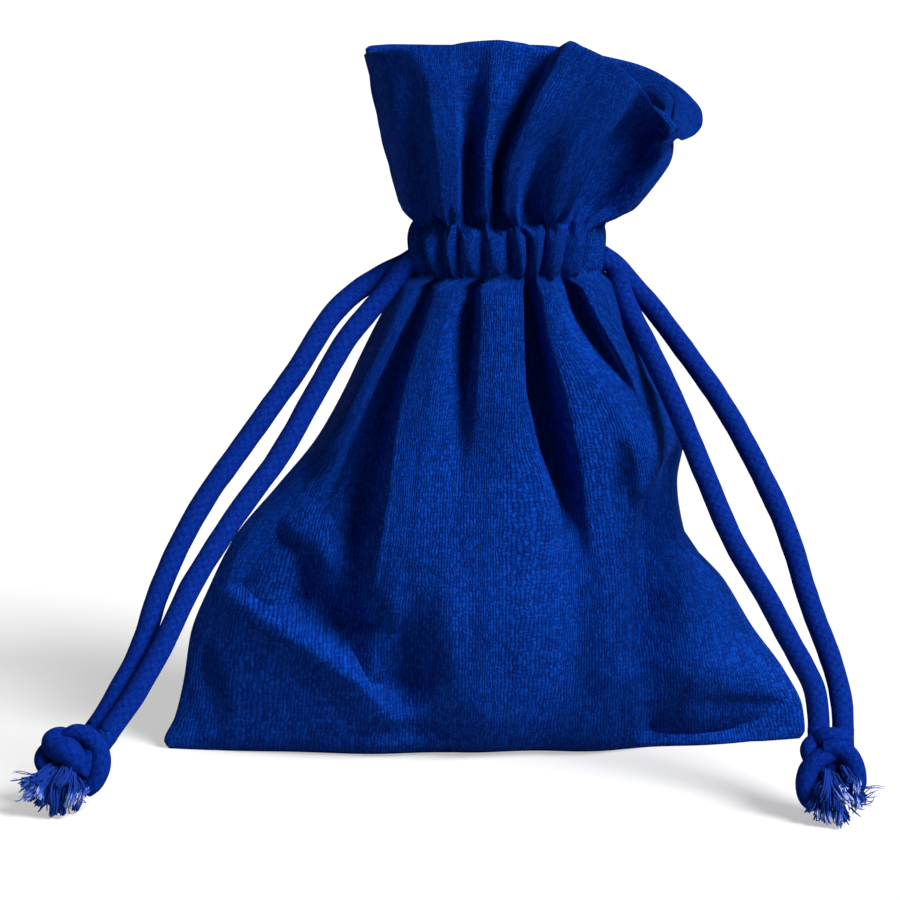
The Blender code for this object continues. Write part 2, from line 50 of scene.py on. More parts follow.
# Cords and the neck that they run round, in metres as in the part's source
CORD_DIAMETER = 0.0033
SQUEEZED_CORD = 0.0026
CLEARANCE = 0.0003
CLOTH = 0.0009
TUNNEL_WIDTH = SQUEEZED_CORD + 2 * CLEARANCE
CORD_LEVEL = (SQUEEZED_CORD + CLEARANCE) / 2
CASING_HEIGHT = 0.0794
NECK_MIDDLE = 0.0036
LOOP_HALF_WIDTH = 0.0125
LOOP_HALF_DEPTH = 0.0068
OUTER_OFFSET = TUNNEL_WIDTH / 2 + CLOTH
PUFF = 0.0013
EXIT_SPREAD = 0.0034
LEFT_OUTER_ROUTE = (
    (-0.0176, 0.0012, 0.0737), (-0.0225, -0.0014, 0.0704), (-0.0294, -0.0072, 0.0614),
    (-0.0369, -0.0122, 0.0519), (-0.0447, -0.0172, 0.0417), (-0.0512, -0.0228, 0.0291),
    (-0.0536, -0.0256, 0.0221), (-0.0570, -0.0284, 0.0163),
)
LEFT_INNER_ROUTE = (
    (-0.0162, -0.0026, 0.0717), (-0.0208, -0.0052, 0.0670), (-0.0266, -0.0096, 0.0584),
    (-0.0319, -0.0136, 0.0499), (-0.0393, -0.0186, 0.0407), (-0.0453, -0.0234, 0.0323),
    (-0.0512, -0.0286, 0.0216), (-0.0546, -0.0312, 0.0163),
)
RIGHT_OUTER_ROUTE = (
    (0.0249, 0.0004, 0.0704), (0.0305, -0.0052, 0.0631), (0.0347, -0.0094, 0.0572),
    (0.0400, -0.0162, 0.0477), (0.0440, -0.0224, 0.0385), (0.0467, -0.0290, 0.0286),
    (0.0482, -0.0322, 0.0241), (0.0494, -0.0350, 0.0203), (0.0500, -0.0380, 0.0170),
)
RIGHT_INNER_ROUTE = (
    (0.0211, -0.0026, 0.0712), (0.0244, -0.0074, 0.0643), (0.0279, -0.0124, 0.0566),
    (0.0319, -0.0190, 0.0465), (0.0356, -0.0254, 0.0374), (0.0403, -0.0314, 0.0293),
    (0.0424, -0.0340, 0.0252), (0.0446, -0.0368, 0.0211), (0.0462, -0.0390, 0.0172),
)
LEFT_KNOT = (-0.0635, -0.0345, 0.0060)
LEFT_ARRIVAL = (-0.57, -0.34, -0.74)
RIGHT_KNOT = (0.0478, -0.0448, 0.0060)
RIGHT_ARRIVAL = (-0.05, -0.47, -0.88)
KNOT_STUB = 0.0068

# How far inside the mouth of the tunnel and below its middle the visible cords begin
EXIT_INSIDE = 0.0022
EXIT_DROP = 0.0019

# Turns of the knots, in millimetres to the right, up and towards the front from the knot's middle as the front
# view sees it: thickness and route of each
LEFT_TURNS = (
    ((1.30, 1.50, 1.65, 1.90, 2.05, 1.80, 1.40, 1.20),
     ((-0.2, 4.6, -1.8), (-2.2, 5, -0.6), (-3, 4.4, 0.8), (-1.9, 3.5, 1.9), (-0.5, 3, 2.3), (0.4, 1.6, 1.9),
      (0, 0.3, 0.9), (-0.8, -0.9, 0))),
    ((1.30, 1.35, 1.42, 1.48, 1.52, 1.50, 1.42, 1.30),
     ((-1.4, 4.8, 0), (0.5, 5.7, 0.6), (2.4, 5.2, 1), (3.7, 3.8, 1.2), (4.15, 1.9, 1.4), (3.9, 0, 1.5),
      (3.1, -1.6, 1.3), (1.9, -2.6, 0.8))),
    ((1.25, 1.35, 1.35, 1.30, 1.20),
     ((-2, 3.4, -1.8), (-3.8, 3, -0.9), (-4.5, 1.7, 0.2), (-3.8, 0.4, 0.9), (-2.5, -0.5, 1.2))),
    ((1.5, 1.6, 1.6, 1.4),
     ((1.2, 3.4, -1.6), (1.6, 1.4, -0.8), (0.8, -0.8, -0.5), (-1.4, -1.4, 0.2))),
    ((1.7, 1.9, 1.9, 1.6),
     ((-0.6, 3.6, -1.6), (-1.4, 2.2, -1.4), (-2, 0.8, -1.2), (-1.8, -0.6, -0.8))),
)
RIGHT_TURNS = (
    ((1.30, 1.40, 1.50, 1.60, 1.60, 1.50, 1.30),
     ((1.2, 3.8, 0.6), (-0.6, 3.6, 1.4), (-2.2, 2.7, 1.7), (-3.5, 1, 1.6), (-3.9, -1, 1.5), (-3.4, -2.8, 1.2),
      (-2.2, -3.8, 0.8))),
    ((1.20, 1.30, 1.40, 1.42, 1.40, 1.35, 1.20),
     ((-1.2, 4.4, 1.6), (0.4, 4.6, 1.9), (2, 3.9, 1.8), (3.1, 2.4, 1.6), (3.7, 0.6, 1.4), (3.7, -1, 1),
      (2.8, -2.4, 0.4))),
    ((1.20, 1.35, 1.40, 1.35, 1.20),
     ((-0.6, 5.4, -1.2), (-2.4, 5.2, -0.4), (-3.3, 4.1, 0.4), (-2.8, 2.8, 0.6), (-1.4, 1.8, 0.4))),
    ((1.5, 1.7, 1.7, 1.5),
     ((0.4, 3.2, -1.2), (0.2, 1.2, -0.4), (0, -0.8, -0.2), (0.2, -2.6, 0.2))),
    ((1.15, 1.30, 1.30, 1.15),
     ((-2.4, 5.4, -0.6), (-0.8, 6.2, 0.9), (0.9, 6.1, 1), (2.3, 5.2, -0.4))),
)
# Cut yarn ends in the same measure: root, tip, how pale the tip is
LEFT_ENDS = (
    ((-3.4, 0.2, 1.6), (-6.9, -1, 3.2), 0.5), ((-3.2, -0.3, 2), (-6.6, -2.2, 3.8), 0.6),
    ((-2.8, -0.6, 2.2), (-6.4, -3.4, 4.2), 1), ((-2.2, -0.6, 2.4), (-4.8, -3.2, 4.6), 1),
    ((-2, 0.2, 2.6), (-4, -4.4, 4), 0.2), ((-1.2, 0.6, 2.8), (-2.6, -4.6, 4.6), 0.1),
    ((-1.4, -0.8, 2), (-2.6, -5.8, 3.4), 0.2), ((-0.6, -0.8, 2.2), (-1.2, -5.6, 3.6), 0.2),
    ((-0.2, 0.2, 2.4), (-0.4, -4.3, 4.4), 0.9), ((0.4, -0.6, 2), (1, -3.7, 3.8), 1),
    ((0.9, -0.8, 1.4), (1.7, -3, 2.8), 0.6), ((-2.6, -1, 0.6), (-5.2, -4.6, 1.6), 0.3),
    ((-1, -1.4, 0.6), (-1.8, -5.4, 1.4), 0.3), ((0.4, -1.4, 0.4), (0.4, -5.2, 1.2), 0.3),
    ((-0.8, 0.8, 3), (-1.7, -1.6, 4.6), 0.1), ((-2.6, 0.8, 2.2), (-5, -1.4, 4), 0.1),
)
RIGHT_ENDS = (
    ((0.2, 0.6, 2.4), (1.4, -1.5, 4.2), 1), ((0.2, -0.2, 2.6), (1.8, -2.9, 4.4), 1),
    ((1.6, 0.4, 2.2), (3.4, -1.5, 3.6), 1), ((1.4, -0.8, 2.2), (3.2, -3.9, 3.8), 0.9),
    ((-1.4, -0.4, 2.4), (-2, -5.2, 4.2), 1), ((-0.8, -0.8, 2.6), (-0.8, -5.9, 4.6), 0.9),
    ((-0.2, -0.8, 2.4), (0.6, -6.2, 5), 0.7), ((0.6, -0.8, 2.2), (1.8, -5.6, 4.2), 0.2),
    ((-2, -0.4, 2.2), (-3.4, -4.2, 3.8), 0.3), ((-0.8, 0.8, 2.6), (-1.4, -2.6, 4.8), 0.1),
    ((-0.2, 0.2, 2.8), (0.2, -3.6, 5), 0.1), ((-1.6, 1.2, 2.2), (-2.4, -1.4, 4), 0.1),
    ((1.6, 1.6, 2), (2.2, 0, 3.8), 0.2), ((2.2, -0.4, 1.4), (4.6, -3, 2.4), 0.6),
    ((0.8, -1.4, 0.8), (1.6, -5.6, 2), 0.3), ((-1.2, -1.6, 0.8), (-2, -5.6, 1.8), 0.3),
)
# Single loose threads: root, tip
LEFT_STRAYS = (
    ((-5.2, -0.4, 2.8), (-8.2, -0.4, 3.4)), ((-6.2, -2.8, 4), (-7.6, -3.6, 4.6)), ((0.9, -3.2, 3.6), (2.2, -3.8, 4)),
)
RIGHT_STRAYS = (
    ((3.4, -1.6, 3), (7.2, -1, 3.4)), ((3.2, -2, 3.2), (5.6, -0.9, 3.6)), ((3, -3.4, 3.4), (6.4, -2, 3.6)),
    ((3, -3.8, 3.4), (5.4, -3.6, 3.6)), ((2.6, -4.2, 3.6), (3.6, -5.2, 3.8)), ((3.2, -2.4, 3.2), (6, -2.6, 3.4)),
)

# Cloth in millimetres. Body sections: height, left edge, right edge, front depth, back depth
BODY_SECTIONS = (
    (0, -49.8, 50, 5.5, 5),
    (1.2, -50.6, 50.8, 8.2, 7.4),
    (5, -48.9, 50.4, 12, 11),
    (11, -47.4, 47.5, 15, 14),
    (18.5, -46.2, 42.1, 17.2, 16.8),
    (26, -43.2, 37.6, 18.2, 18),
    (34, -39.1, 31.2, 18.4, 18.2),
    (42, -32.4, 30, 17.8, 17.4),
    (49, -26.6, 31, 16.8, 16.2),
    (56, -22.5, 27.8, 15.6, 14.6),
    (62.5, -19.4, 24.8, 14.2, 13.4),
    (68, -16.6, 22.2, 13, 12.4),
    (72, -14.4, 20.4, 12, 11.6),
    (75.6, -12.9, 19, 10.6, 10.2),
)
FOOT_OF_CASING = 75.6
HEAD_OF_CASING = 83.2

# Lines down the front of the body. Each has its place across the flat cloth, its x at each height, and how deep
# it is sunk below the body's round, less than 0 where it stands out, both as (height, value) pairs
FRONT_LINES = (
    (8, ((0, -41), (20, -39.5), (36, -33.6), (44, -28.4), (52, -23.4), (60, -19.4), (68, -15.2), (75.6, -11.5)),
     ((0, 0), (24, 0.4), (34, 2.8), (42, 2.6), (50, -3.4), (58, -5.2), (66, -4), (75.6, 0.2))),
    (14, ((0, -33), (20, -31), (36, -28.2), (44, -25), (52, -21.2), (60, -17.8), (68, -13.8), (75.6, -10)),
     ((0, 0), (26, 0.4), (34, 3.6), (42, 4), (50, -0.8), (58, -2.6), (66, -2), (75.6, 0.2))),
    (18, ((0, -28.6), (20, -27), (36, -24.6), (44, -22.4), (52, -19.4), (60, -16), (68, -12.2), (75.6, -9.1)),
     ((0, 0), (26, 0.4), (34, 3.6), (42, 8.4), (50, 9.6), (60, 8.8), (68, 6), (75.6, 2))),
    (22, ((0, -23.6), (20, -22.4), (36, -20.8), (44, -18.8), (52, -17), (60, -14.6), (68, -11.3), (75.6, -8.5)),
     ((0, 0), (22, 0.4), (30, 4.6), (36, 9.6), (42, 12.8), (50, 14), (60, 13.4), (68, 10.6), (73, 7.2),
      (75.6, 3.8))),
    (25.5, ((0, -19.4), (20, -18.8), (30, -18), (36, -17), (44, -15.7), (52, -14.6), (60, -13), (68, -10.3),
            (75.6, -7.7)),
     ((0, 0), (26, 0.1), (34, -0.3), (52, -0.9), (68, -0.6), (75.6, 0))),
    (32, ((0, -13), (20, -13), (36, -12.2), (44, -11.6), (52, -10.6), (60, -9.4), (68, -7.6), (75.6, -5.5)),
     ((0, 0), (40, -0.5), (60, -1), (72, -1), (75.6, 0))),
    (36.5, ((0, -8.6), (20, -8.6), (36, -8.4), (44, -8), (52, -7.2), (60, -6), (68, -4.7), (75.6, -3.8)),
     ((0, 0), (40, 0), (52, 0.4), (60, 1.6), (68, 3.6), (75.6, 1.6))),
    (39.5, ((0, -6), (20, -6.2), (36, -6), (44, -5.6), (52, -4.9), (60, -3.9), (68, -3), (75.6, -2.5)),
     ((0, 0), (40, 0.1), (50, 1), (56, 2.6), (62, 5.6), (68, 7.6), (73, 6), (75.6, 3.4))),
    (42.5, ((0, -3.4), (36, -3.4), (52, -2.9), (60, -2.4), (68, -1.9), (75.6, -1.5)),
     ((0, 0), (44, -0.3), (60, -0.7), (72, -0.6), (75.6, 0))),
    (48.5, ((0, 1), (36, 1), (52, 1.2), (68, 1.7), (75.6, 1.8)),
     ((0, 0), (36, -0.3), (56, -1.4), (72, -1.4), (75.6, -0.4))),
    (54, ((0, 6.4), (30, 8), (40, 8.8), (44, 8.2), (48, 6.9), (52, 5.4), (60, 4.8), (75.6, 4.6)),
     ((0, 0), (36, -0.2), (50, -0.7), (60, -1.1), (72, -1), (75.6, 0))),
    (57.5, ((0, 9.8), (30, 11.2), (40, 11), (44, 10), (48, 8.6), (52, 7.2), (60, 5.8), (68, 5.5), (75.6, 5.4)),
     ((0, 0), (26, 0.2), (34, 2.2), (42, 6.6), (50, 11.2), (60, 12.6), (68, 11), (73, 7.6), (75.6, 4))),
    (61.5, ((0, 13.2), (30, 13.8), (40, 12.6), (48, 10.8), (56, 8.8), (64, 7.4), (75.6, 6.3)),
     ((0, 0), (26, 0.2), (34, 1.8), (42, 5), (50, 9), (60, 9.8), (68, 7), (75.6, 2))),
    (65.5, ((0, 17), (30, 16.2), (40, 14.8), (48, 13.4), (56, 11.8), (62, 10), (68, 8.3), (75.6, 7.4)),
     ((0, 0), (30, 0.4), (40, 0.4), (50, 0.2), (58, -0.2), (66, -0.4), (75.6, 0.2))),
    (70, ((0, 21), (36, 20), (44, 19.4), (52, 18), (60, 15.2), (68, 10.8), (75.6, 8.8)),
     ((0, 0), (40, -0.2), (52, -0.8), (62, -1.6), (70, -1.5), (75.6, 0))),
    (74, ((0, 25), (36, 23.4), (44, 22.8), (52, 21.4), (58, 19), (64, 15.6), (70, 12.2), (75.6, 10.5)),
     ((0, 0), (38, -0.4), (44, -3.6), (50, -4), (56, -2.2), (62, 0.6), (68, 1.6), (75.6, 0.6))),
    (78, ((0, 29), (36, 26.2), (44, 25.4), (52, 23.6), (58, 21.2), (64, 17.6), (70, 14), (75.6, 11.9)),
     ((0, 0), (38, -0.6), (44, -4.4), (50, -5), (56, -2.4), (61, 1.4), (66, 6.2), (71, 8), (75.6, 3.6))),
    (82, ((0, 32.6), (20, 30.6), (36, 27.6), (44, 26.8), (52, 25.4), (58, 22.6), (64, 19.4), (70, 16), (75.6, 13.4)),
     ((0, 0), (38, -0.6), (44, -3.4), (50, -4), (56, -3), (64, -1.6), (70, -1.2), (75.6, 0.2))),
    (88, ((0, 38.4), (20, 35.6), (36, 29.8), (44, 28.8), (52, 27.8), (60, 23.6), (68, 19.6), (75.6, 15.8)),
     ((0, 0), (38, 0), (44, -1.6), (50, -2.4), (56, -2.6), (62, -2.2), (68, -1.6), (75.6, 0))),
    (94, ((0, 44.2), (20, 39.2), (36, 31.8), (44, 30.4), (52, 29.4), (60, 24.4), (68, 20.4), (75.6, 17.4)),
     ((0, 0), (38, 0), (44, -0.6), (50, -1), (56, -0.8), (62, 0.2), (68, 0.8), (75.6, 0.6))),
)

# Soft creases: route in x and height, half-width to the left and to the right of it, depth, less than 0 for a ridge
CREASES = (
    (((-50, 38), (-42, 32.6), (-33.6, 27.4), (-25, 22.4), (-16.5, 15.5), (-10.5, 7)), (4.6, 10), 7.4),
    (((-43, 27), (-32, 22.4), (-23, 16.4), (-16, 8)), (6.5, 5.5), -1.6),
    (((-12.4, 31), (-12.6, 21), (-12.2, 8)), (3.4, 4.2), 2),
    (((-6.6, 34), (-6.6, 14)), (3.4, 3.4), -0.9),
    (((32, 49), (27.6, 45.6), (25, 40), (23.2, 31), (23, 20), (24, 8)), (2.2, 8.5), 6.6),
    (((24.4, 42), (20.6, 31), (19, 20), (18, 9)), (5.5, 3.2), -1.5),
    (((12.4, 36), (13, 23), (12, 9)), (4.5, 4.5), 1.7),
    (((2, 40), (1.6, 24), (1, 10)), (3.5, 3.5), 0.6),
    (((22, 3.4), (36, 4.4), (50, 2.6)), (4.5, 5.5), 5.4),
    (((20, 13.5), (34, 14), (50, 8.5)), (6.5, 6), -3.2),
    (((36, 33), (38, 24), (44, 16)), (5, 4), -1),
    (((-24, 3), (-15, 5), (-6, 3)), (3, 3.5), 1.6),
    (((-48, 20), (-43.5, 12), (-42, 4)), (3, 3), 1.2),
)

# Valleys between the puffs of the casing: place across the flat cloth, x at the foot, x at the head
FRONT_VALLEYS = (
    (8, -10.5, -11.3), (16, -8.5, -8.9), (27, -5.7, -5.9), (38, -1.4, -1.7), (48, 3.1, 2.2),
    (57, 6, 5.7), (67, 8.2, 9.3), (79, 11.9, 13.3), (90, 15.4, 16.6),
)

# Header lines: place across the flat cloth, then points (x, y, height) at the foot, at two steps up and at the rim
HEADER_LINES = (
    (0, (-12.9, 0), (-15.1, 0, 92), (-17, 0, 101), (-18.6, 0, 108.6)),
    (6, (-11.8, -4.4), (-12.8, -5.6, 92.6), (-14.8, -6.2, 101.4), (-16.6, -6, 109.4)),
    (14, (-8.9, -4.8), (-10.2, -6.2, 92.8), (-11.6, -8, 101.8), (-13, -8.7, 110.1)),
    (20, (-7.4, -9), (-8, -10.8, 93), (-9, -11.2, 102), (-10, -9.8, 110.4)),
    (28, (-5.2, -9.4), (-5.2, -11.4, 93), (-5.6, -11.6, 102), (-6, -10.4, 110.4)),
    (31, (-4.1, -6), (-4.1, -7, 93), (-4.2, -9, 102), (-4.2, -10.2, 110.7)),
    (34.5, (-3.2, -2.8), (-2.9, -3.3, 92.6), (-2.6, -7.8, 101.4), (-2.2, -10, 110.9)),
    (38.5, (-0.9, -9.2), (-0.9, -10.8, 93), (0, -11, 102), (1, -10.6, 111.1)),
    (43, (0.2, -6.6), (0.7, -7.6, 93), (3.4, -8.4, 102), (5.2, -9, 110.5)),
    (47, (1.1, -3.3), (1.7, -3.3, 93), (5.2, -4.6, 102), (9, -7.6, 109.3)),
    (51, (2.2, -9.2), (2.5, -12, 92.6), (6, -13.2, 102.2), (11.2, -13.4, 111.2)),
    (55.5, (3.8, -9.4), (4.4, -12.4, 92.6), (9.4, -14, 102), (13.4, -14, 110.4)),
    (60.5, (5.6, -3.5), (6.9, -9.4, 92.4), (12, -13.4, 101.6), (16, -14, 109.2)),
    (68, (8.8, -9.4), (10.8, -12.8, 92), (15.4, -13.8, 101), (18.6, -13.6, 107.9)),
    (76, (11, -9), (14.6, -13, 91.6), (18.8, -13.6, 99.8), (21.3, -12.6, 105.5)),
    (80, (12.4, -2.6), (15.6, -3.4, 91), (19.6, -4.4, 97.6), (23.3, -9.6, 103.6)),
    (85, (15.4, -1.8), (20.4, -1.6, 90.8), (23.6, -2.8, 96.2), (25.5, -7.6, 100.4)),
    (90, (18.8, -7), (24.2, -9, 91), (26.6, -9.6, 95.4), (27.9, -9.8, 97.5)),
    (95, (20.8, -4.2), (27, -6, 91.4), (28, -6.4, 97), (29.5, -7.2, 96)),
    (100, (21.4, 0), (28, -1, 92), (28.6, -2.4, 99.4), (31.5, -4, 96.3)),
    (106, (20.6, 3.2), (27.2, 2.6, 92.8), (28.8, 0.6, 101), (32.9, -1.2, 97.8)),
    (112, (18.6, 5.2), (24.8, 5.2, 93.2), (28.2, 3.6, 102.4), (33.2, 1.8, 99.6)),
    (118, (14.8, 6.8), (20.8, 7.4, 93.4), (26, 6.8, 102.8), (31.8, 5, 101.9)),
    (125, (12.2, 8), (17.4, 5.8, 93), (22.4, 8.2, 101.8), (28.8, 8.2, 103.9)),
    (133, (9.4, 8.8), (13.6, 10.4, 92.6), (17.2, 11.2, 100.8), (24.2, 10.6, 105.7)),
    (142, (6, 4.2), (8.4, 5.4, 92.2), (11.6, 9, 100.4), (16.6, 11.4, 107.4)),
    (151, (2.8, 9.6), (4, 11, 92.2), (5.6, 11.8, 100.8), (9.4, 11.8, 108.6)),
    (160, (-0.4, 4.2), (-0.8, 5.4, 92.2), (-0.4, 9, 101), (1.8, 11, 108.8)),
    (169, (-4, 9), (-5, 10.6, 92.2), (-5.6, 11.4, 101), (-5.2, 10.6, 108.8)),
    (178, (-7.4, 3.8), (-8.6, 4.8, 92.2), (-10.2, 7.6, 101), (-10.8, 8.8, 109)),
    (186, (-9.8, 6.2), (-12, 7.2, 92.2), (-14.4, 7.4, 101), (-15.4, 7, 109.2)),
    (194, (-11.8, 3), (-14.2, 3.6, 92), (-17, 3.8, 101), (-18.6, 3.6, 109.2)),
)

FRONT_COLUMNS = 228
BACK_COLUMNS = 164
BODY_ROWS = 124
CASING_ROWS = 24
HEADER_ROWS = 48
INNER_HEADER_ROWS = 14
INNER_BODY_ROWS = 8

# Heights of the header's stops as shares of the way up, and the least half-depth of its middle
HEADER_STOPS = (0.0, 0.33, 0.67, 1.0)
MOUTH_HALF_DEPTH = 3.4
# The casing's cloth stands this far off the loop of the cords in its valleys, at its seams and at the foot and
# the middle of a puff
VALLEY_OFFSET = 1.4
SEAM_OFFSET = 1.9
PUFF_FOOT = 0.7
PUFF_RISE = 2.2
# Thickness of the visible cloth, and of its turned-in hem
SKIN = 0.9
HEM = 1.5
# Height at which the inner skin of the neck begins, where the neck's round ends, and the inner base
INNER_NECK = 82.0
INNER_ROUND = 73
INNER_BASE = 1.2
# Flat lengths of cloth from the base up, for the weave
FLAT_BODY = 80.0
FLAT_CASING = 12.0
FLAT_HEADER = 34.0

# Threads of the weave, from one to the next, and how far they stand up, in millimetres and metres
WARP_PITCH = 0.56
WEFT_PITCH = 0.80
WEAVE_RELIEF = 0.00042
BRAID_RELIEF = 0.00016
MATT = 0.03

# Colours from the painted shade in the gaps of the weave and the braid to the painted light on their tops, and of
# the yarn ends from the dyed root to the undyed cut
CLOTH_BLUES = ((0.25, (0.0003, 0.008, 0.088)), (0.62, (0.0008, 0.028, 0.268)), (1.0, (0.002, 0.064, 0.480)))
CORD_BLUES = ((0.40, (0.0005, 0.008, 0.120)), (0.68, (0.0014, 0.021, 0.215)), (0.95, (0.004, 0.045, 0.330)))
YARN_BLUES = ((0.10, (0.002, 0.026, 0.230)), (0.50, (0.020, 0.085, 0.440)), (0.95, (0.40, 0.47, 0.86)))
# Pale blue of the flecks painted as highlights of fibres on the cloth
FIBRE_HIGHLIGHT_BLUE = (0.020, 0.105, 0.520)
# Darker blue of broad patches that vary at random
WORN_BLUE = (0.0008, 0.018, 0.180)

THREADS_IN_BUNDLE = 38
THREADS_IN_STRAY = 3

# Lamps: name, direction that they stand in, width in degrees, strength
LAMPS = (
    ("key", (0.60, -0.55, 0.66), 26, 5.4),
    ("fill", (0.05, -0.95, 0.30), 50, 0.14),
    ("top", (0.10, 0.25, 1.0), 60, 0.40),
)
WORLD_LIGHT = 0.03
# Share of plain white in the floor as the camera sees it, and the floor's own grey as seen and as a reflector
FLOOR_WHITE = 0.45
FLOOR_SEEN = (0.92, 0.92, 0.92)
FLOOR_REFLECTS = (0.40, 0.40, 0.40)


def hermite(u, width, low, high, slope_low, slope_high):
    """Cubic between two stops, at the share u of the way between them."""
    return (
        (2 * u**3 - 3 * u**2 + 1) * low
        + (u**3 - 2 * u**2 + u) * width * slope_low
        + (3 * u**2 - 2 * u**3) * high
        + (u**3 - u**2) * width * slope_high
    )


def steady(places, values, at):
    """Smooth curve through the points that never runs past them (monotone cubic)."""
    places = np.asarray(places, float)
    values = np.asarray(values, float)
    flat = values.reshape(len(places), -1)
    span = np.diff(places)[:, None]
    rise = np.diff(flat, axis=0) / span
    slope = np.zeros_like(flat)
    same = rise[:-1] * rise[1:] > 0
    weight_low, weight_high = 2 * span[1:] + span[:-1], span[1:] + 2 * span[:-1]
    with np.errstate(divide="ignore", invalid="ignore"):
        mean = (weight_low + weight_high) / (weight_low / rise[:-1] + weight_high / rise[1:])
    slope[1:-1] = np.where(same, mean, 0)
    slope[0], slope[-1] = rise[0], rise[-1]
    at = np.clip(np.asarray(at, float), places[0], places[-1])
    index = np.clip(np.searchsorted(places, at, side="right") - 1, 0, len(places) - 2)
    width = (places[index + 1] - places[index])[..., None]
    u = (at - places[index])[..., None] / width
    made = hermite(u, width, flat[index], flat[index + 1], slope[index], slope[index + 1])
    return made.reshape(at.shape + values.shape[1:])


def smooth_through(places, values, at):
    """The part's own smooth curve: cubic Hermite through the points."""
    places = np.asarray(places, float)
    values = np.asarray(values, float)
    slopes = np.gradient(values, places, axis=0)
    at = np.clip(at, places[0], places[-1])
    index = np.clip(np.searchsorted(places, at) - 1, 0, len(places) - 2)
    span = places[index + 1] - places[index]
    u = (at - places[index]) / span
    if values.ndim > 1:
        span, u = span[..., None], u[..., None]
    return hermite(u, span, values[index], values[index + 1], slopes[index], slopes[index + 1])


def smooth_route(points, count):
    """Points at even steps along the part's smooth curve."""
    points = np.asarray(points, float)
    along = np.concatenate([[0], np.cumsum(np.linalg.norm(np.diff(points, axis=0), axis=1))])
    fine = smooth_through(along, points, np.linspace(0, along[-1], 12 * count))
    length = np.concatenate([[0], np.cumsum(np.linalg.norm(np.diff(fine, axis=0), axis=1))])
    even = np.linspace(0, length[-1], count)
    return np.stack([np.interp(even, length, axis) for axis in fine.T], axis=1)


def ease(low, high, value):
    """Soft step from 0 at low to 1 at high."""
    share = np.clip((value - low) / (high - low), 0, 1)
    return share * share * (3 - 2 * share)


def swell(u, v, scale, seed):
    """Soft unevenness of about unit size, from a few crossed waves with fixed directions."""
    waves = np.random.default_rng(seed)
    total = np.zeros(np.broadcast(u, v).shape)
    for _ in range(14):
        heading = waves.uniform(0, math.pi)
        length = scale * waves.uniform(0.6, 1.7)
        phase = waves.uniform(0, 2 * math.pi)
        total += np.sin(2 * math.pi * (u * math.cos(heading) + v * math.sin(heading)) / length + phase)
    return total / 3.7


def signed_gap(x, z, route):
    """Signed distance to a route in the front view, positive to its right, and the share of the way along it."""
    line = smooth_route(route, 26)
    start, step = line[:-1], np.diff(line, axis=0)
    to_point = np.stack([x, z], axis=-1)[:, None, :] - start
    share = np.clip((to_point * step).sum(-1) / (step**2).sum(-1), 0, 1)
    away = to_point - share[..., None] * step
    gap = np.linalg.norm(away, axis=-1)
    nearest = gap.argmin(axis=1)
    rows = np.arange(len(x))
    turn = step[nearest, 0] * away[rows, nearest, 1] - step[nearest, 1] * away[rows, nearest, 0]
    return gap[rows, nearest] * np.sign(-turn), (nearest + share[rows, nearest]) / len(step)


def crease_depth(x, z):
    """How deep the soft creases are sunk at points of the front view."""
    depth = np.zeros_like(x)
    for route, (left, right), full in CREASES:
        gap, along = signed_gap(x, z, route)
        down = route[-1][1] < route[0][1]
        gap = gap * (-1 if down else 1)
        near = np.clip(1 - np.where(gap < 0, -gap / left, gap / right), 0, 1)
        depth += full * near**2 * (3 - 2 * near) * np.sin(np.pi * np.clip(along, 0.03, 0.97)) ** 0.7
    return depth


def section(z):
    """Left edge, right edge, front depth and back depth of the body at a height."""
    return steady([row[0] for row in BODY_SECTIONS], [row[1:] for row in BODY_SECTIONS], z)


def at_height(pairs, z):
    """Value at a height, of (height, value) pairs."""
    heights, values = zip(*pairs)
    return float(steady(heights, values, z))


def lined(z, back):
    """Places, x and depth of the lines of one panel at a height, its two seams included."""
    left, right, _, _ = section(z)
    places, xs, depths = [0.0], [left], [0.0]
    for place, across, sunk in FRONT_LINES:
        places.append(place)
        xs.append(at_height(across, z))
        depths.append(at_height(sunk, z))
    places.append(100.0)
    xs.append(right)
    depths.append(0.0)
    places, xs, depths = np.array(places), np.array(xs), np.array(depths)
    if back:
        shares = (xs - left) / (right - left)
        depths = 0.75 * depths[::-1]
        xs = left + (1 - shares[::-1]) * (right - left)
        places = 100 - places[::-1]
    return places, xs, depths


def body_panel(place, z, back):
    """Points of the front or back panel at a height, for places across the flat cloth from 0 at the left seam."""
    left, right, front, rear = section(z)
    places, xs, depths = lined(z, back)
    from_seam = np.minimum(place, 100 - place)
    x = np.clip(steady(places, xs, place), left + 0.1 * from_seam, right - 0.1 * from_seam)
    depth = steady(places, depths, place)
    side = 2 * (x - left) / (right - left) - 1
    sharpness = 1 + 0.9 * max(0.0, 1 - z / 66)
    reach = np.clip(1 - side**2, 0, 1) ** (sharpness / 2)
    height = np.full_like(x, z)
    if not back:
        depth = depth + crease_depth(x, height)
    else:
        depth = depth + 0.8 * crease_depth(left + right - x, height)
    depth = depth - 0.35 * swell(place, z + (200 if back else 0), 22, 3)
    depth = depth * ease(0, 3.5, from_seam)
    full = rear if back else front
    least = 1.4 + 1.9 * float(ease(12, 24, z))
    y = np.maximum(full * reach - depth, np.minimum(least, full * reach))
    return np.stack([x, y if back else -y, height], axis=-1)


def loop_point(angle, offset, height):
    """Point at an angle round the neck, at an offset from the loop that the cords run in."""
    x = LOOP_HALF_WIDTH / MM * np.sin(angle)
    y = -LOOP_HALF_DEPTH / MM * np.cos(angle)
    normal = np.stack([LOOP_HALF_DEPTH * np.sin(angle), -LOOP_HALF_WIDTH * np.cos(angle)], axis=-1)
    normal /= np.linalg.norm(normal, axis=-1)[..., None]
    flat = np.stack([x + NECK_MIDDLE / MM, y], axis=-1) + offset[..., None] * normal
    return np.concatenate([flat, np.broadcast_to(height, x.shape)[..., None]], axis=-1)


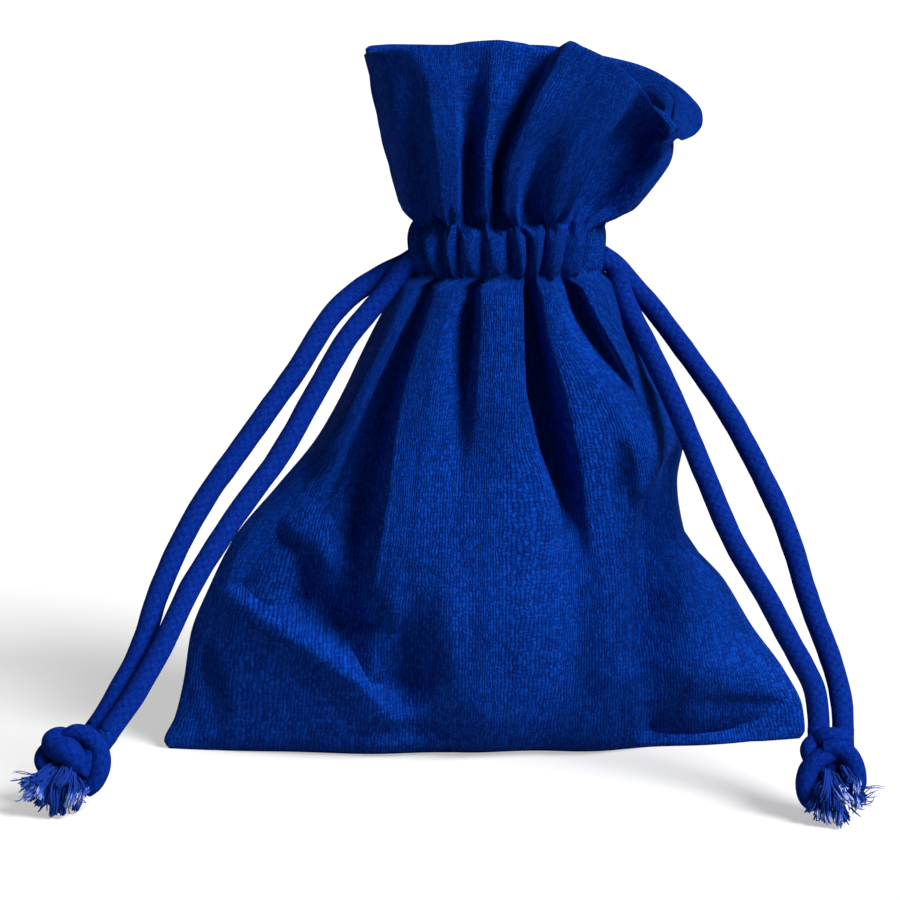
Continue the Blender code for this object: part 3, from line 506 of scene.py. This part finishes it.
def casing_valleys():
    """Place across the cloth and angle round the neck of each valley, at the foot and at the head."""
    half = LOOP_HALF_WIDTH / MM + OUTER_OFFSET / MM + 0.6
    rows = [(0.0, -math.pi / 2, -math.pi / 2)]
    for place, low, high in FRONT_VALLEYS:
        rows.append((place, *(math.asin(max(-0.98, min(0.98, (x - NECK_MIDDLE / MM) / half))) for x in (low, high))))
    rows.append((100.0, math.pi / 2, math.pi / 2))
    for k in range(1, 10):
        lean = 0.05 * math.sin(3.1 * k)
        angle = math.pi / 2 + math.pi * (k + 0.16 * math.sin(2.3 * k)) / 10
        rows.append((100 + 10.0 * k, angle - lean, angle + lean))
    rows.append((200.0, 1.5 * math.pi, 1.5 * math.pi))
    return np.array(rows)


def ruffle(place):
    """Unevenness along the two rows of stitches: how far they pull in, and how far they wander up and down."""
    turn = np.asarray(place) * math.pi / 100
    pull = 0.75 + 0.35 * np.sin(13 * turn + 1.0) + 0.25 * np.sin(29 * turn)
    wander = 0.55 * np.sin(17 * turn) + 0.40 * np.sin(41 * turn + 2.0)
    return pull, wander


def casing_row(place, share):
    """One row of the casing, from its foot at share 0 to its head at share 1."""
    valleys = casing_valleys()
    angles = valleys[:, 1] + (valleys[:, 2] - valleys[:, 1]) * share
    angle = steady(valleys[:, 0], angles, place)
    index = np.clip(np.searchsorted(valleys[:, 0], place, side="right") - 1, 0, len(valleys) - 2)
    across = np.clip((place - valleys[index, 0]) / (valleys[index + 1, 0] - valleys[index, 0]), 0, 1)
    across = across ** (1.0 + 0.30 * np.sin(4.1 * index))
    puff = np.sin(np.pi * across) ** 0.72
    middle = 0.5 + 0.10 * np.sin(7.7 * index)
    bulge = np.clip(1 - ((share - middle) / np.where(share > middle, 1 - middle, middle)) ** 2, 0, 1) ** 0.5
    fat = 1.0 + 0.22 * np.sin(5.3 * index + 1.0)
    beside = 1 - 0.42 * np.abs(np.sin(angle)) ** 3
    offset = VALLEY_OFFSET + puff * (PUFF_FOOT + PUFF_RISE * fat * bulge) * beside
    seam = np.minimum(np.abs(place % 100), 100 - np.abs(place % 100))
    offset = SEAM_OFFSET + (offset - SEAM_OFFSET) * ease(0, 3, seam)
    height = FOOT_OF_CASING + (HEAD_OF_CASING - FOOT_OF_CASING) * share
    points = loop_point(angle, offset, height)
    _, wander = ruffle(place)
    points[..., 2] += wander * (math.exp(-(((1 - share) / 0.22) ** 2)) - math.exp(-((share / 0.22) ** 2)))
    return points


def header_row(place, share, inset=0.0):
    """One row of the header, from its foot at share 0 to its rim at share 1."""
    lines = [*HEADER_LINES, (200, *HEADER_LINES[0][1:])]
    places = [line[0] for line in lines]
    foot = steady(places, [line[1] for line in lines], place)
    head = casing_row(place, 1.0)
    lower, upper, rim = (steady(places, [line[k] for line in lines], place) for k in (2, 3, 4))
    base = np.concatenate([foot, head[:, 2:]], axis=1)
    point = sum(weight * stop for weight, stop in zip(stop_weights(share), (base, lower, upper, rim)))
    point = point + (head - base) * (1 - ease(-0.02, 0.10, share)) * 0.75
    side = np.where(place < 100, -1, 1)
    kept = side * np.maximum(side * point[:, 1], MOUTH_HALF_DEPTH)
    point[:, 1] = np.where(np.abs(place % 100 - 50) < 30, kept, point[:, 1])
    pull, _ = ruffle(place)
    wave = 0.22 * swell(place, 110 + 30 * share, 14, 5) * ease(0.1, 0.5, share)
    wave = wave - pull * math.exp(-((share / 0.04) ** 2))
    out = np.stack([np.gradient(point[:, 1]), -np.gradient(point[:, 0])], axis=-1)
    out /= np.maximum(np.linalg.norm(out, axis=-1), 1e-6)[:, None]
    point[:, :2] += (wave - inset)[:, None] * out
    return point


def stop_weights(share):
    """Weights of the header's four stops for a smooth curve through them."""
    return [float(smooth_through(HEADER_STOPS, unit, np.array(share))) for unit in np.eye(len(HEADER_STOPS))]


def cloth_rows():
    """All rows of the outer skin from the base to the rim, the flat height of each, and the inner rows."""
    front = np.linspace(0, 100, FRONT_COLUMNS, endpoint=False)
    back = np.linspace(100, 200, BACK_COLUMNS, endpoint=False)
    place = np.concatenate([front, back])
    rows, flats = [], []
    casing_foot = casing_row(place, 0.0)
    for k in range(BODY_ROWS):
        share = k / BODY_ROWS
        z = FOOT_OF_CASING * share
        row = np.concatenate([body_panel(front, z, False), body_panel(200 - back, z, True)])
        mix = ease(73.6, 75.8, z)
        row[:, :2] = row[:, :2] * (1 - mix) + casing_foot[:, :2] * mix
        rows.append(row)
        flats.append(FLAT_BODY * share)
    top = header_row(place, 0.0)
    for k in range(CASING_ROWS):
        share = k / CASING_ROWS
        row = casing_row(place, share)
        row[:, :2] += (top - casing_row(place, 1.0))[:, :2] * ease(0.84, 1.0, share)
        rows.append(row)
        flats.append(FLAT_BODY + FLAT_CASING * share)
    for k in range(HEADER_ROWS + 1):
        share = k / HEADER_ROWS
        rows.append(header_row(place, share))
        flats.append(FLAT_BODY + FLAT_CASING + FLAT_HEADER * share)
    inner, inner_flats = [], []
    for k in range(INNER_HEADER_ROWS):
        share = 1 - 0.97 * k / (INNER_HEADER_ROWS - 1)
        row = header_row(place, share, HEM)
        inner.append(row)
        inner_flats.append(FLAT_BODY + FLAT_CASING + FLAT_HEADER * share)
    for k in range(INNER_BODY_ROWS):
        share = k / (INNER_BODY_ROWS - 1)
        z = INNER_NECK + (INNER_BASE - INNER_NECK) * share
        if z > INNER_ROUND:
            angle = np.concatenate([np.linspace(-math.pi / 2, math.pi / 2, FRONT_COLUMNS, endpoint=False),
                                    np.linspace(math.pi / 2, 1.5 * math.pi, BACK_COLUMNS, endpoint=False)])
            row = loop_point(angle, np.full(len(angle), -TUNNEL_WIDTH / 2 / MM - SKIN), z)
        else:
            row = np.concatenate([body_panel(front, z, False), body_panel(200 - back, z, True)])
            row[:, 0] = NECK_MIDDLE / MM + (row[:, 0] - NECK_MIDDLE / MM) * 0.97
            row[:, 1] = row[:, 1] - np.sign(row[:, 1]) * np.minimum(SKIN, np.abs(row[:, 1]) * 0.8)
        inner.append(row)
        inner_flats.append(FLAT_BODY * z / INNER_NECK)
    return place, rows, flats, inner, inner_flats


def ring_faces(rings, around, base=0):
    """Faces between closed rings of points that follow each other."""
    return [
        (low + j, low + (j + 1) % around, low + around + (j + 1) % around, low + around + j)
        for low in range(base, base + (rings - 1) * around, around)
        for j in range(around)
    ]


def placed(name, data):
    """A new object in the scene."""
    made = bpy.data.objects.new(name, data)
    bpy.context.scene.collection.objects.link(made)
    return made


def make_cloth():
    """The pouch's cloth as one closed mesh: outer skin, rim, inner skin and the strips that close the base."""
    place, rows, flats, inner, inner_flats = cloth_rows()
    crest = [rows[-1] * (1 - share) + inner[0] * share + np.array([0, 0, lift])
             for share, lift in ((0.25, 0.35), (0.5, 0.5), (0.75, 0.35))]
    every = rows + crest + inner
    rim = flats[-1]
    heights = flats + [rim + 0.5, rim + 0.8, rim + 1.1] + [2 * rim + 1.6 - flat for flat in inner_flats]
    count = len(place)
    points = np.concatenate(every) * MM
    faces = ring_faces(len(every), count)
    mesh = bpy.data.meshes.new("cloth")
    last = (len(every) - 1) * count
    strips = []
    for start in (0, last):
        for j in range(FRONT_COLUMNS):
            a, b = start + j, start + j + 1
            c = start + (count - round(j * BACK_COLUMNS / FRONT_COLUMNS)) % count
            d = start + (count - round((j + 1) * BACK_COLUMNS / FRONT_COLUMNS)) % count
            if j + 1 == FRONT_COLUMNS:
                d = b
            corners = list(dict.fromkeys((c, d, b, a)))
            if len(corners) > 2:
                strips.append(corners)
    mesh.from_pydata([tuple(p) for p in points], [], faces + strips)
    builder = bmesh.new()
    builder.from_mesh(mesh)
    bmesh.ops.recalc_face_normals(builder, faces=builder.faces[:])
    builder.to_mesh(mesh)
    builder.free()
    mesh.update()
    layer = mesh.uv_layers.new(name="Flat")
    u_of = np.tile(place, len(every))
    v_of = np.repeat(np.array(heights), count)
    loops = np.empty(len(mesh.loops), int)
    mesh.loops.foreach_get("vertex_index", loops)
    u, v = u_of[loops], v_of[loops]
    starts = np.empty(len(mesh.polygons), int)
    totals = np.empty(len(mesh.polygons), int)
    mesh.polygons.foreach_get("loop_start", starts)
    mesh.polygons.foreach_get("loop_total", totals)
    owner = np.repeat(np.arange(len(starts)), totals)
    top = np.maximum.reduceat(u, starts)
    wrapped = (top[owner] > 150) & (u < 50) & (owner < len(faces))
    u = np.where(wrapped, u + 200, u)
    layer.data.foreach_set("uv", np.stack([u / 100, v / 100], axis=-1).ravel())
    mesh.shade_smooth()
    return placed("cloth", mesh)


def tube(name, line, radius, around, uneven=0.0, seed=1):
    """A mesh tube along a line, with its flat coordinates in units of its own width."""
    line = np.asarray(line, float)
    tangent = np.gradient(line, axis=0)
    tangent /= np.linalg.norm(tangent, axis=1)[:, None]
    side = np.zeros_like(line)
    guide = np.cross(tangent[0], [0.0, 0.0, 1.0])
    if np.linalg.norm(guide) < 0.1:
        guide = np.cross(tangent[0], [0.0, 1.0, 0.0])
    side[0] = guide / np.linalg.norm(guide)
    for k in range(1, len(line)):
        turned = side[k - 1] - tangent[k] * np.dot(side[k - 1], tangent[k])
        side[k] = turned / np.linalg.norm(turned)
    up = np.cross(tangent, side)
    along = np.concatenate([[0], np.cumsum(np.linalg.norm(np.diff(line, axis=0), axis=1))])
    lap = np.linspace(0, 2 * math.pi, around, endpoint=False)
    radius = np.broadcast_to(radius, len(line))
    bumps = 1 + uneven * swell(along[:, None] / MM, 3 * lap[None, :] / math.pi, 5.0, seed)
    ring = radius[:, None] * bumps
    out = np.cos(lap)[None, :, None] * side[:, None, :] + np.sin(lap)[None, :, None] * up[:, None, :]
    points = line[:, None, :] + ring[..., None] * out
    points = np.concatenate([points.reshape(-1, 3), line[:1], line[-1:]])
    count = len(line)
    faces = ring_faces(count, around)
    first, last = count * around, count * around + 1
    for j in range(around):
        k = (j + 1) % around
        faces.append((first, k, j))
        faces.append((last, (count - 1) * around + j, (count - 1) * around + k))
    mesh = bpy.data.meshes.new(name)
    mesh.from_pydata([tuple(p) for p in points], [], faces)
    layer = mesh.uv_layers.new(name="Flat")
    values = []
    for face in faces:
        for vertex in face:
            if vertex >= first:
                values.append((0.5, along[0 if vertex == first else -1] / CORD_DIAMETER))
            else:
                j, r = vertex % around, vertex // around
                lap_share = 1.0 if j == 0 and face.index(vertex) in (1, 2) and len(face) == 4 else j / around
                values.append((lap_share, along[r] / CORD_DIAMETER))
    layer.data.foreach_set("uv", np.array(values).ravel())
    mesh.shade_smooth()
    return placed(name, mesh)


def mouth(side):
    """How far out the mouth of the tunnel is at a side."""
    return NECK_MIDDLE + side * (LOOP_HALF_WIDTH + OUTER_OFFSET + PUFF)


def knot_frame(side, arrival):
    """Axes of a knot, with its last one against the cords' arrival, as in the part's source."""
    up = -Vector(arrival).normalized()
    sideways = up.cross(Vector((0, 0, 1))).normalized()
    if sideways.x * side < 0:
        sideways.negate()
    return Matrix((sideways, up.cross(sideways), up)).transposed()


def knot_entry(side, middle, arrival, end, away):
    """Point on the middle line of a cord, at a distance from its knot's middle."""
    place = Vector((end * (CORD_DIAMETER + CLEARANCE) / 2, 0, away))
    return np.array(Vector(middle) + knot_frame(side, arrival) @ place)


def cord_line(side, end, route, middle, arrival):
    """The middle line of a free cord, from its exit to its knot, as in the part's source."""
    start = (mouth(side) - side * EXIT_INSIDE, end * EXIT_SPREAD / 2, CASING_HEIGHT - EXIT_DROP)
    lead = (start[0] + side * EXIT_INSIDE * 0.8, start[1], start[2] - EXIT_DROP * 0.6)
    last = knot_entry(side, middle, arrival, end, KNOT_STUB + CLEARANCE)
    before = knot_entry(side, middle, arrival, end, KNOT_STUB + CLEARANCE + CORD_DIAMETER / 2)
    coarse = np.array([start, *smooth_route([lead, *route, before], 19), last])
    return smooth_route(coarse, 150)


def ring_line(side, level):
    """The middle line of a cord's run in the casing, with both its ends at one side."""
    angle = np.linspace(-math.pi / 2 + 0.30, 1.5 * math.pi - 0.30, 40)
    x = LOOP_HALF_WIDTH * np.sin(angle) + NECK_MIDDLE
    y = -LOOP_HALF_DEPTH * np.cos(angle)
    loop = np.stack([x, y, np.full_like(x, level)], axis=-1)
    bend = NECK_MIDDLE - LOOP_HALF_WIDTH - 0.45 * OUTER_OFFSET
    end = mouth(-1) + EXIT_INSIDE
    front = [(end, -EXIT_SPREAD / 2, level), (bend, -EXIT_SPREAD / 2, level)]
    back = [(bend, EXIT_SPREAD / 2, level), (end, EXIT_SPREAD / 2, level)]
    points = np.array([*front, *loop, *back])
    if side > 0:
        points[:, 0] = 2 * NECK_MIDDLE - points[:, 0]
    return smooth_route(points, 120)


def joined(name, objects):
    """One mesh object of several, without any operator that needs a selection."""
    builder = bmesh.new()
    for obj in objects:
        copy = obj.data.copy()
        copy.transform(obj.matrix_world)
        builder.from_mesh(copy)
        bpy.data.meshes.remove(copy)
    mesh = bpy.data.meshes.new(name)
    builder.to_mesh(mesh)
    builder.free()
    for obj in objects:
        bpy.data.objects.remove(obj, do_unlink=True)
    mesh.shade_smooth()
    return placed(name, mesh)


def view_axes():
    """Right, up and towards the front, as the camera sees them."""
    towards = (Vector(CAMERA_PLACE) - Vector(CAMERA_TARGET)).normalized()
    right = Vector((0, 0, 1)).cross(towards).normalized()
    return np.array([right, towards.cross(right), towards])


def make_knot(name, side, middle, arrival, turns, seed):
    """A pulled-down overhand knot: its turns, and the two strands where they go in."""
    parts = []
    for k, (thick, route) in enumerate(turns):
        line = smooth_route(np.array(route), 60)
        radius = np.interp(np.linspace(0, 1, 60), np.linspace(0, 1, len(thick)), thick) * MM
        world = np.array(middle) + line @ view_axes() * MM
        world[:, 2] = np.maximum(world[:, 2], radius)
        parts.append(tube(f"{name}_turn_{k}", world, radius, 22, 0.035, seed + k))
    for end in (-1, 1):
        steps = np.linspace(KNOT_STUB + 0.0006, 0, 14)
        entry = np.array([knot_entry(side, middle, arrival, end, away) for away in steps])
        parts.append(tube(f"{name}_stub_{end + 1}", entry, CORD_DIAMETER * 0.5, 18, 0.02, seed + 5))
    return joined(name, parts)


def make_fray(name, middle, ends, strays, seed):
    """The cut ends: bundles of yarn, blue at the root and undyed at the cut, and a few loose threads."""
    threads = np.random.default_rng(seed)
    axes = view_axes()
    middle = np.array(middle)
    vertices, faces, tips = [], [], []

    def thread(line, thick, pale):
        base, steps = len(vertices), len(line)
        along = line[-1] - line[0]
        side = np.cross(along, (0.31, 0.12, 0.94))
        side /= np.linalg.norm(side)
        up = np.cross(side, along / np.linalg.norm(along))
        for s, point in enumerate(line):
            share = s / (steps - 1)
            size = thick * (1 - 0.35 * share**3)
            for lap in (0.0, 1.6, 3.1, 4.7):
                vertices.append(tuple(point + size * (math.cos(lap) * side + math.sin(lap) * up)))
                tips.append(pale * ease(0.62, 0.95, share))
        faces.extend(ring_faces(steps, 4, base))
        faces.append((base + 3, base + 2, base + 1, base))
        last = base + 4 * (steps - 1)
        faces.append((last, last + 1, last + 2, last + 3))

    for root, tip, pale in ends:
        root, tip = np.array(root), np.array(tip)
        sag = threads.normal(0, 0.35, 3)
        for _ in range(THREADS_IN_BUNDLE):
            spread = threads.normal(0, 0.27, 3)
            reach = 1 + threads.normal(0, 0.05)
            curl = threads.normal(0, 0.14, 3)
            share = np.linspace(0, 1, 8)[:, None]
            line = root + (tip - root) * share * reach + spread * (1.0 + 0.20 * share) + curl * share**2
            line = line + sag * np.sin(np.pi * share)
            world = middle + line @ axes * MM
            thick = threads.uniform(0.12, 0.22) * MM
            world[:, 2] = np.maximum(world[:, 2], thick + threads.uniform(0, 0.3) * MM)
            thread(world, thick, pale * threads.uniform(0.6, 1.1))
    for root, tip in strays:
        for _ in range(THREADS_IN_STRAY):
            share = np.linspace(0, 1, 9)[:, None]
            line = np.array(root) + (np.array(tip) - np.array(root)) * share + threads.normal(0, 0.16, 3)
            line = line + threads.normal(0, 0.45, 3) * np.sin(np.pi * share) + threads.normal(0, 0.3, 3) * share**2
            world = middle + line @ axes * MM
            world[:, 2] = np.maximum(world[:, 2], 0.2 * MM)
            thread(world, threads.uniform(0.05, 0.09) * MM, 0.9)
    mesh = bpy.data.meshes.new(name)
    mesh.from_pydata(vertices, [], faces)
    layer = mesh.uv_layers.new(name="Flat")
    values = [(0.5, tips[v]) for face in faces for v in face]
    layer.data.foreach_set("uv", np.array(values).ravel())
    mesh.shade_smooth()
    return placed(name, mesh)


class Nodes:
    """Short hand for building a material's node tree."""

    def __init__(self, name, roughness):
        self.material = bpy.data.materials.new(name)
        self.material.use_nodes = True
        self.tree = self.material.node_tree
        self.shader = self.tree.nodes["Principled BSDF"]
        self.shader.inputs["Roughness"].default_value = roughness

    def link(self, source, target):
        self.tree.links.new(source, target)

    def value(self, socket, given):
        if isinstance(given, (int, float)):
            socket.default_value = given
        else:
            self.link(given, socket)

    def math(self, operation, a, b=0.0, c=0.0):
        node = self.tree.nodes.new("ShaderNodeMath")
        node.operation = operation
        for socket, given in zip(node.inputs, (a, b, c)):
            self.value(socket, given)
        return node.outputs[0]

    def times(self, a, b):
        return self.math("MULTIPLY", a, b)

    def plus(self, a, b):
        return self.math("ADD", a, b)

    def noise(self, vector, scale, detail=2.0, rough=0.5):
        node = self.tree.nodes.new("ShaderNodeTexNoise")
        node.inputs["Scale"].default_value = scale
        node.inputs["Detail"].default_value = detail
        node.inputs["Roughness"].default_value = rough
        self.link(vector, node.inputs["Vector"])
        return node.outputs["Fac"]

    def position(self):
        return self.tree.nodes.new("ShaderNodeTexCoord").outputs["Object"]

    def flat(self):
        node = self.tree.nodes.new("ShaderNodeUVMap")
        node.uv_map = "Flat"
        return node.outputs["UV"]

    def split(self, vector):
        node = self.tree.nodes.new("ShaderNodeSeparateXYZ")
        self.link(vector, node.inputs[0])
        return node.outputs[0], node.outputs[1]

    def combine(self, x, y):
        node = self.tree.nodes.new("ShaderNodeCombineXYZ")
        self.value(node.inputs[0], x)
        self.value(node.inputs[1], y)
        return node.outputs[0]

    def white(self, vector):
        node = self.tree.nodes.new("ShaderNodeTexWhiteNoise")
        node.noise_dimensions = "2D"
        self.link(vector, node.inputs["Vector"])
        return node.outputs["Value"]

    def ramp(self, value, stops):
        node = self.tree.nodes.new("ShaderNodeValToRGB")
        node.color_ramp.elements[0].position = stops[0][0]
        node.color_ramp.elements[0].color = (*stops[0][1], 1)
        node.color_ramp.elements[1].position = stops[-1][0]
        node.color_ramp.elements[1].color = (*stops[-1][1], 1)
        for place, colour in stops[1:-1]:
            node.color_ramp.elements.new(place).color = (*colour, 1)
        self.value(node.inputs[0], value)
        return node.outputs[0]

    def mix(self, share, a, b):
        node = self.tree.nodes.new("ShaderNodeMix")
        node.data_type = "RGBA"
        self.value(node.inputs[0], share)
        for socket, given in ((node.inputs[6], a), (node.inputs[7], b)):
            if isinstance(given, tuple):
                socket.default_value = (*given, 1)
            else:
                self.link(given, socket)
        return node.outputs[2]

    def dress(self, base, specular, height=None, relief=0.0):
        """Give the shader its colour and gloss, and its relief where there is one."""
        self.link(base, self.shader.inputs["Base Color"])
        self.shader.inputs["Specular IOR Level"].default_value = specular
        if height is not None:
            bump = self.tree.nodes.new("ShaderNodeBump")
            bump.inputs["Strength"].default_value = 1.0
            bump.inputs["Distance"].default_value = relief
            self.link(height, bump.inputs["Height"])
            self.link(bump.outputs[0], self.shader.inputs["Normal"])
        return self.material


def cotton_material():
    """Plain weave: uneven warp and weft threads that cross over and under, with pale flecks on some crossings,
    painted highlights of the fibres.
    """
    n = Nodes("cotton_cloth", 0.92)
    u, v = n.split(n.flat())
    u, v = n.times(u, 100.0), n.times(v, 100.0)
    flat = n.combine(u, v)
    drift = n.math("SUBTRACT", n.noise(flat, 0.45, 3.0), 0.5)
    across = n.plus(n.math("DIVIDE", u, WARP_PITCH), n.times(drift, 2.0))
    drift_two = n.math("SUBTRACT", n.noise(flat, 0.8, 3.0, 0.6), 0.5)
    down = n.plus(n.math("DIVIDE", v, WEFT_PITCH), n.times(drift_two, 3.2))
    warp_wave, weft_wave = (n.math("SINE", n.times(run, math.pi)) for run in (across, down))
    warp, weft = n.math("ABSOLUTE", warp_wave), n.math("ABSOLUTE", weft_wave)
    cross = n.times(warp_wave, weft_wave)
    over = n.math("MINIMUM", n.math("MAXIMUM", n.math("MULTIPLY_ADD", cross, 0.95, 0.5), 0.0), 1.0)
    luck = n.white(n.combine(n.math("FLOOR", across), n.math("FLOOR", down)))
    strand = n.white(n.combine(n.math("FLOOR", across), 3.0))
    threads = n.plus(n.times(n.math("POWER", warp, 0.7), n.math("MULTIPLY_ADD", over, 0.88, 0.12)),
                     n.times(n.times(n.math("POWER", weft, 0.7), 0.72), n.math("SUBTRACT", 1.0, over)))
    fuzz = n.noise(flat, 4.0, 3.0, 0.75)
    height = n.plus(threads, n.times(fuzz, 0.8))
    height = n.plus(height, n.times(luck, 0.7))
    # Darker where the threads sink and lighter on their raised tops: painted shade and light of the weave, with
    # random tone per crossing and fuzz
    tone = n.math("MULTIPLY_ADD", threads, 0.50, n.times(luck, 0.34))
    tone = n.plus(tone, n.times(strand, 0.08))
    tone = n.plus(tone, n.times(fuzz, 0.34))
    base = n.ramp(tone, CLOTH_BLUES)
    # Pale flecks at random places: painted highlights of fibres
    fleck = n.noise(flat, 7.5, 2.0, 0.8)
    pale = n.times(n.math("GREATER_THAN", fleck, 0.665), 0.55)
    base = n.mix(pale, base, FIBRE_HIGHLIGHT_BLUE)
    broad = n.noise(n.position(), 60.0, 2.0)
    base = n.mix(n.times(broad, 0.30), base, WORN_BLUE)
    return n.dress(base, MATT, height, WEAVE_RELIEF)


def braid_material():
    """Tubular braid: two crossed sets of slanting strands, with fine fuzz."""
    n = Nodes("cotton_cord", 0.9)
    u, v = n.split(n.flat())
    lap = n.times(u, 6.0)
    run = n.times(v, 2.1)
    wobble = n.times(n.math("SUBTRACT", n.noise(n.position(), 420.0, 2.0), 0.5), 0.7)
    slant_one = n.plus(n.plus(lap, run), wobble)
    slant_two = n.plus(n.math("SUBTRACT", lap, run), wobble)
    one = n.math("ABSOLUTE", n.math("SINE", n.times(slant_one, math.pi)))
    two = n.math("ABSOLUTE", n.math("SINE", n.times(slant_two, math.pi)))
    braid = n.times(n.plus(n.math("POWER", one, 0.6), n.math("POWER", two, 0.6)), 0.5)
    fuzz = n.noise(n.position(), 2600.0, 3.0, 0.7)
    height = n.plus(n.times(braid, 0.35), n.times(fuzz, 0.8))
    # Darker in the grooves between the strands and lighter on their crowns: painted shade and light of the braid,
    # with random fuzz
    tone = n.plus(n.times(braid, 0.22), n.times(fuzz, 0.85))
    base = n.ramp(tone, CORD_BLUES)
    return n.dress(base, MATT, height, BRAID_RELIEF)


def fray_material():
    """Loose yarn, from the blue of the cord to undyed cotton at the cut."""
    n = Nodes("frayed_cotton", 0.9)
    _, v = n.split(n.flat())
    luck = n.noise(n.position(), 900.0, 1.0)
    share = n.plus(v, n.times(n.math("SUBTRACT", luck, 0.5), 0.5))
    base = n.ramp(share, YARN_BLUES)
    return n.dress(base, 0.15)


def floor_material():
    """Floor that the camera sees as white, with the soft shadow kept, and that throws little light back."""
    n = Nodes("plain_floor", 0.8)
    glow = n.tree.nodes.new("ShaderNodeEmission")
    glow.inputs["Color"].default_value = (1, 1, 1, 1)
    path = n.tree.nodes.new("ShaderNodeLightPath")
    seen = n.math("MAXIMUM", path.outputs["Is Camera Ray"], path.outputs["Is Glossy Ray"])
    mix = n.tree.nodes.new("ShaderNodeMixShader")
    surface = n.dress(n.mix(seen, FLOOR_REFLECTS, FLOOR_SEEN), 0.1)
    n.link(n.times(seen, FLOOR_WHITE), mix.inputs[0])
    n.link(n.shader.outputs[0], mix.inputs[1])
    n.link(glow.outputs[0], mix.inputs[2])
    output = next(node for node in n.tree.nodes if node.type == "OUTPUT_MATERIAL")
    n.link(mix.outputs[0], output.inputs["Surface"])
    return surface


def sun_light(name, towards, softness, strength):
    """A wide soft lamp, far off in the given direction."""
    lamp = bpy.data.lights.new(name, "SUN")
    lamp.energy = strength
    lamp.angle = math.radians(softness)
    placed(name, lamp).rotation_euler = (-Vector(towards)).to_track_quat("-Z", "Y").to_euler()


def make_world():
    """A world that the camera sees as white, and that gives only a little light."""
    world = bpy.data.worlds.new("studio")
    world.use_nodes = True
    tree = world.node_tree
    tree.nodes.clear()
    path = tree.nodes.new("ShaderNodeLightPath")
    mix = tree.nodes.new("ShaderNodeMixShader")
    for socket, strength in ((1, WORLD_LIGHT), (2, 1.0)):
        white = tree.nodes.new("ShaderNodeBackground")
        white.inputs["Color"].default_value = (1, 1, 1, 1)
        white.inputs["Strength"].default_value = strength
        tree.links.new(white.outputs[0], mix.inputs[socket])
    seen = path.outputs["Is Camera Ray"]
    for ray in ("Is Glossy Ray", "Is Transmission Ray"):
        either = tree.nodes.new("ShaderNodeMath")
        either.operation = "MAXIMUM"
        tree.links.new(seen, either.inputs[0])
        tree.links.new(path.outputs[ray], either.inputs[1])
        seen = either.outputs[0]
    tree.links.new(seen, mix.inputs[0])
    output = tree.nodes.new("ShaderNodeOutputWorld")
    tree.links.new(mix.outputs[0], output.inputs[0])
    bpy.context.scene.world = world


def make_camera():
    lens = bpy.data.cameras.new("camera")
    lens.lens = CAMERA_LENS
    lens.sensor_width = 36.0
    lens.sensor_fit = "HORIZONTAL"
    lens.clip_start = 0.01
    lens.clip_end = 20.0
    made = placed("camera", lens)
    place, target = Vector(CAMERA_PLACE) * MM, Vector(CAMERA_TARGET) * MM
    made.location = place
    made.rotation_euler = (target - place).to_track_quat("-Z", "Y").to_euler()
    bpy.context.scene.camera = made


def finished(obj, surface, slot, *nodes):
    """Give a piece its material and its body, and hide the nodes that it replaces. The slot is not used."""
    obj.data.materials.clear()
    obj.data.materials.append(surface)
    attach(obj, "root")
    if nodes:
        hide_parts(*nodes)
    return obj


make_camera()
cotton = cotton_material()
braid = braid_material()
frayed = fray_material()

low, high = CASING_HEIGHT - CORD_LEVEL, CASING_HEIGHT + CORD_LEVEL
sides = (
    ("left", -1, low, LEFT_KNOT, LEFT_ARRIVAL, LEFT_TURNS, LEFT_ENDS, LEFT_STRAYS,
     (("outer", 1, LEFT_OUTER_ROUTE), ("inner", -1, LEFT_INNER_ROUTE))),
    ("right", 1, high, RIGHT_KNOT, RIGHT_ARRIVAL, RIGHT_TURNS, RIGHT_ENDS, RIGHT_STRAYS,
     (("outer", 1, RIGHT_OUTER_ROUTE), ("inner", -1, RIGHT_INNER_ROUTE))),
)
cord_lengths = {}
for name, side, level, middle, arrival, turns, ends, strays, routes in sides:
    ring = tube(f"{name}_ring", ring_line(side, level), SQUEEZED_CORD / 2, 14, 0.02, 21)
    finished(ring, braid, "cotton_cord", f"{name}_cord_in_casing")
    knot = make_knot(f"{name}_tied_knot", side, middle, arrival, turns, 31 + side)
    finished(knot, braid, "cotton_cord", f"{name}_knot")
    fray = make_fray(f"{name}_frayed_ends", middle, ends, strays, 41 + side)
    finished(fray, frayed, "cotton_cord")
    for which, end, route in routes:
        line = cord_line(side, end, route, middle, arrival)
        length = float(np.linalg.norm(np.diff(line, axis=0), axis=1).sum())
        strand = tube(f"{name}_{which}_strand", line, CORD_DIAMETER / 2, 20, 0.018, 51 + side + end)
        finished(strand, braid, "cotton_cord", f"{name}_cord_{which}")
        cord_lengths[f"{name}_{which}"] = round(length, 4)
print("cord lengths", cord_lengths)

cloth = make_cloth()
finished(cloth, cotton, "cotton_cloth", "pouch_cloth")

floor_mesh = bpy.data.meshes.new("floor")
floor_mesh.from_pydata([(-4, -4, 0), (4, -4, 0), (4, 4, 0), (-4, 4, 0)], [], [(0, 1, 2, 3)])
floor_mesh.materials.append(floor_material())
floor = placed("floor", floor_mesh)

make_world()
for lamp in LAMPS:
    sun_light(*lamp)

bpy.context.scene.view_settings.view_transform = "Standard"
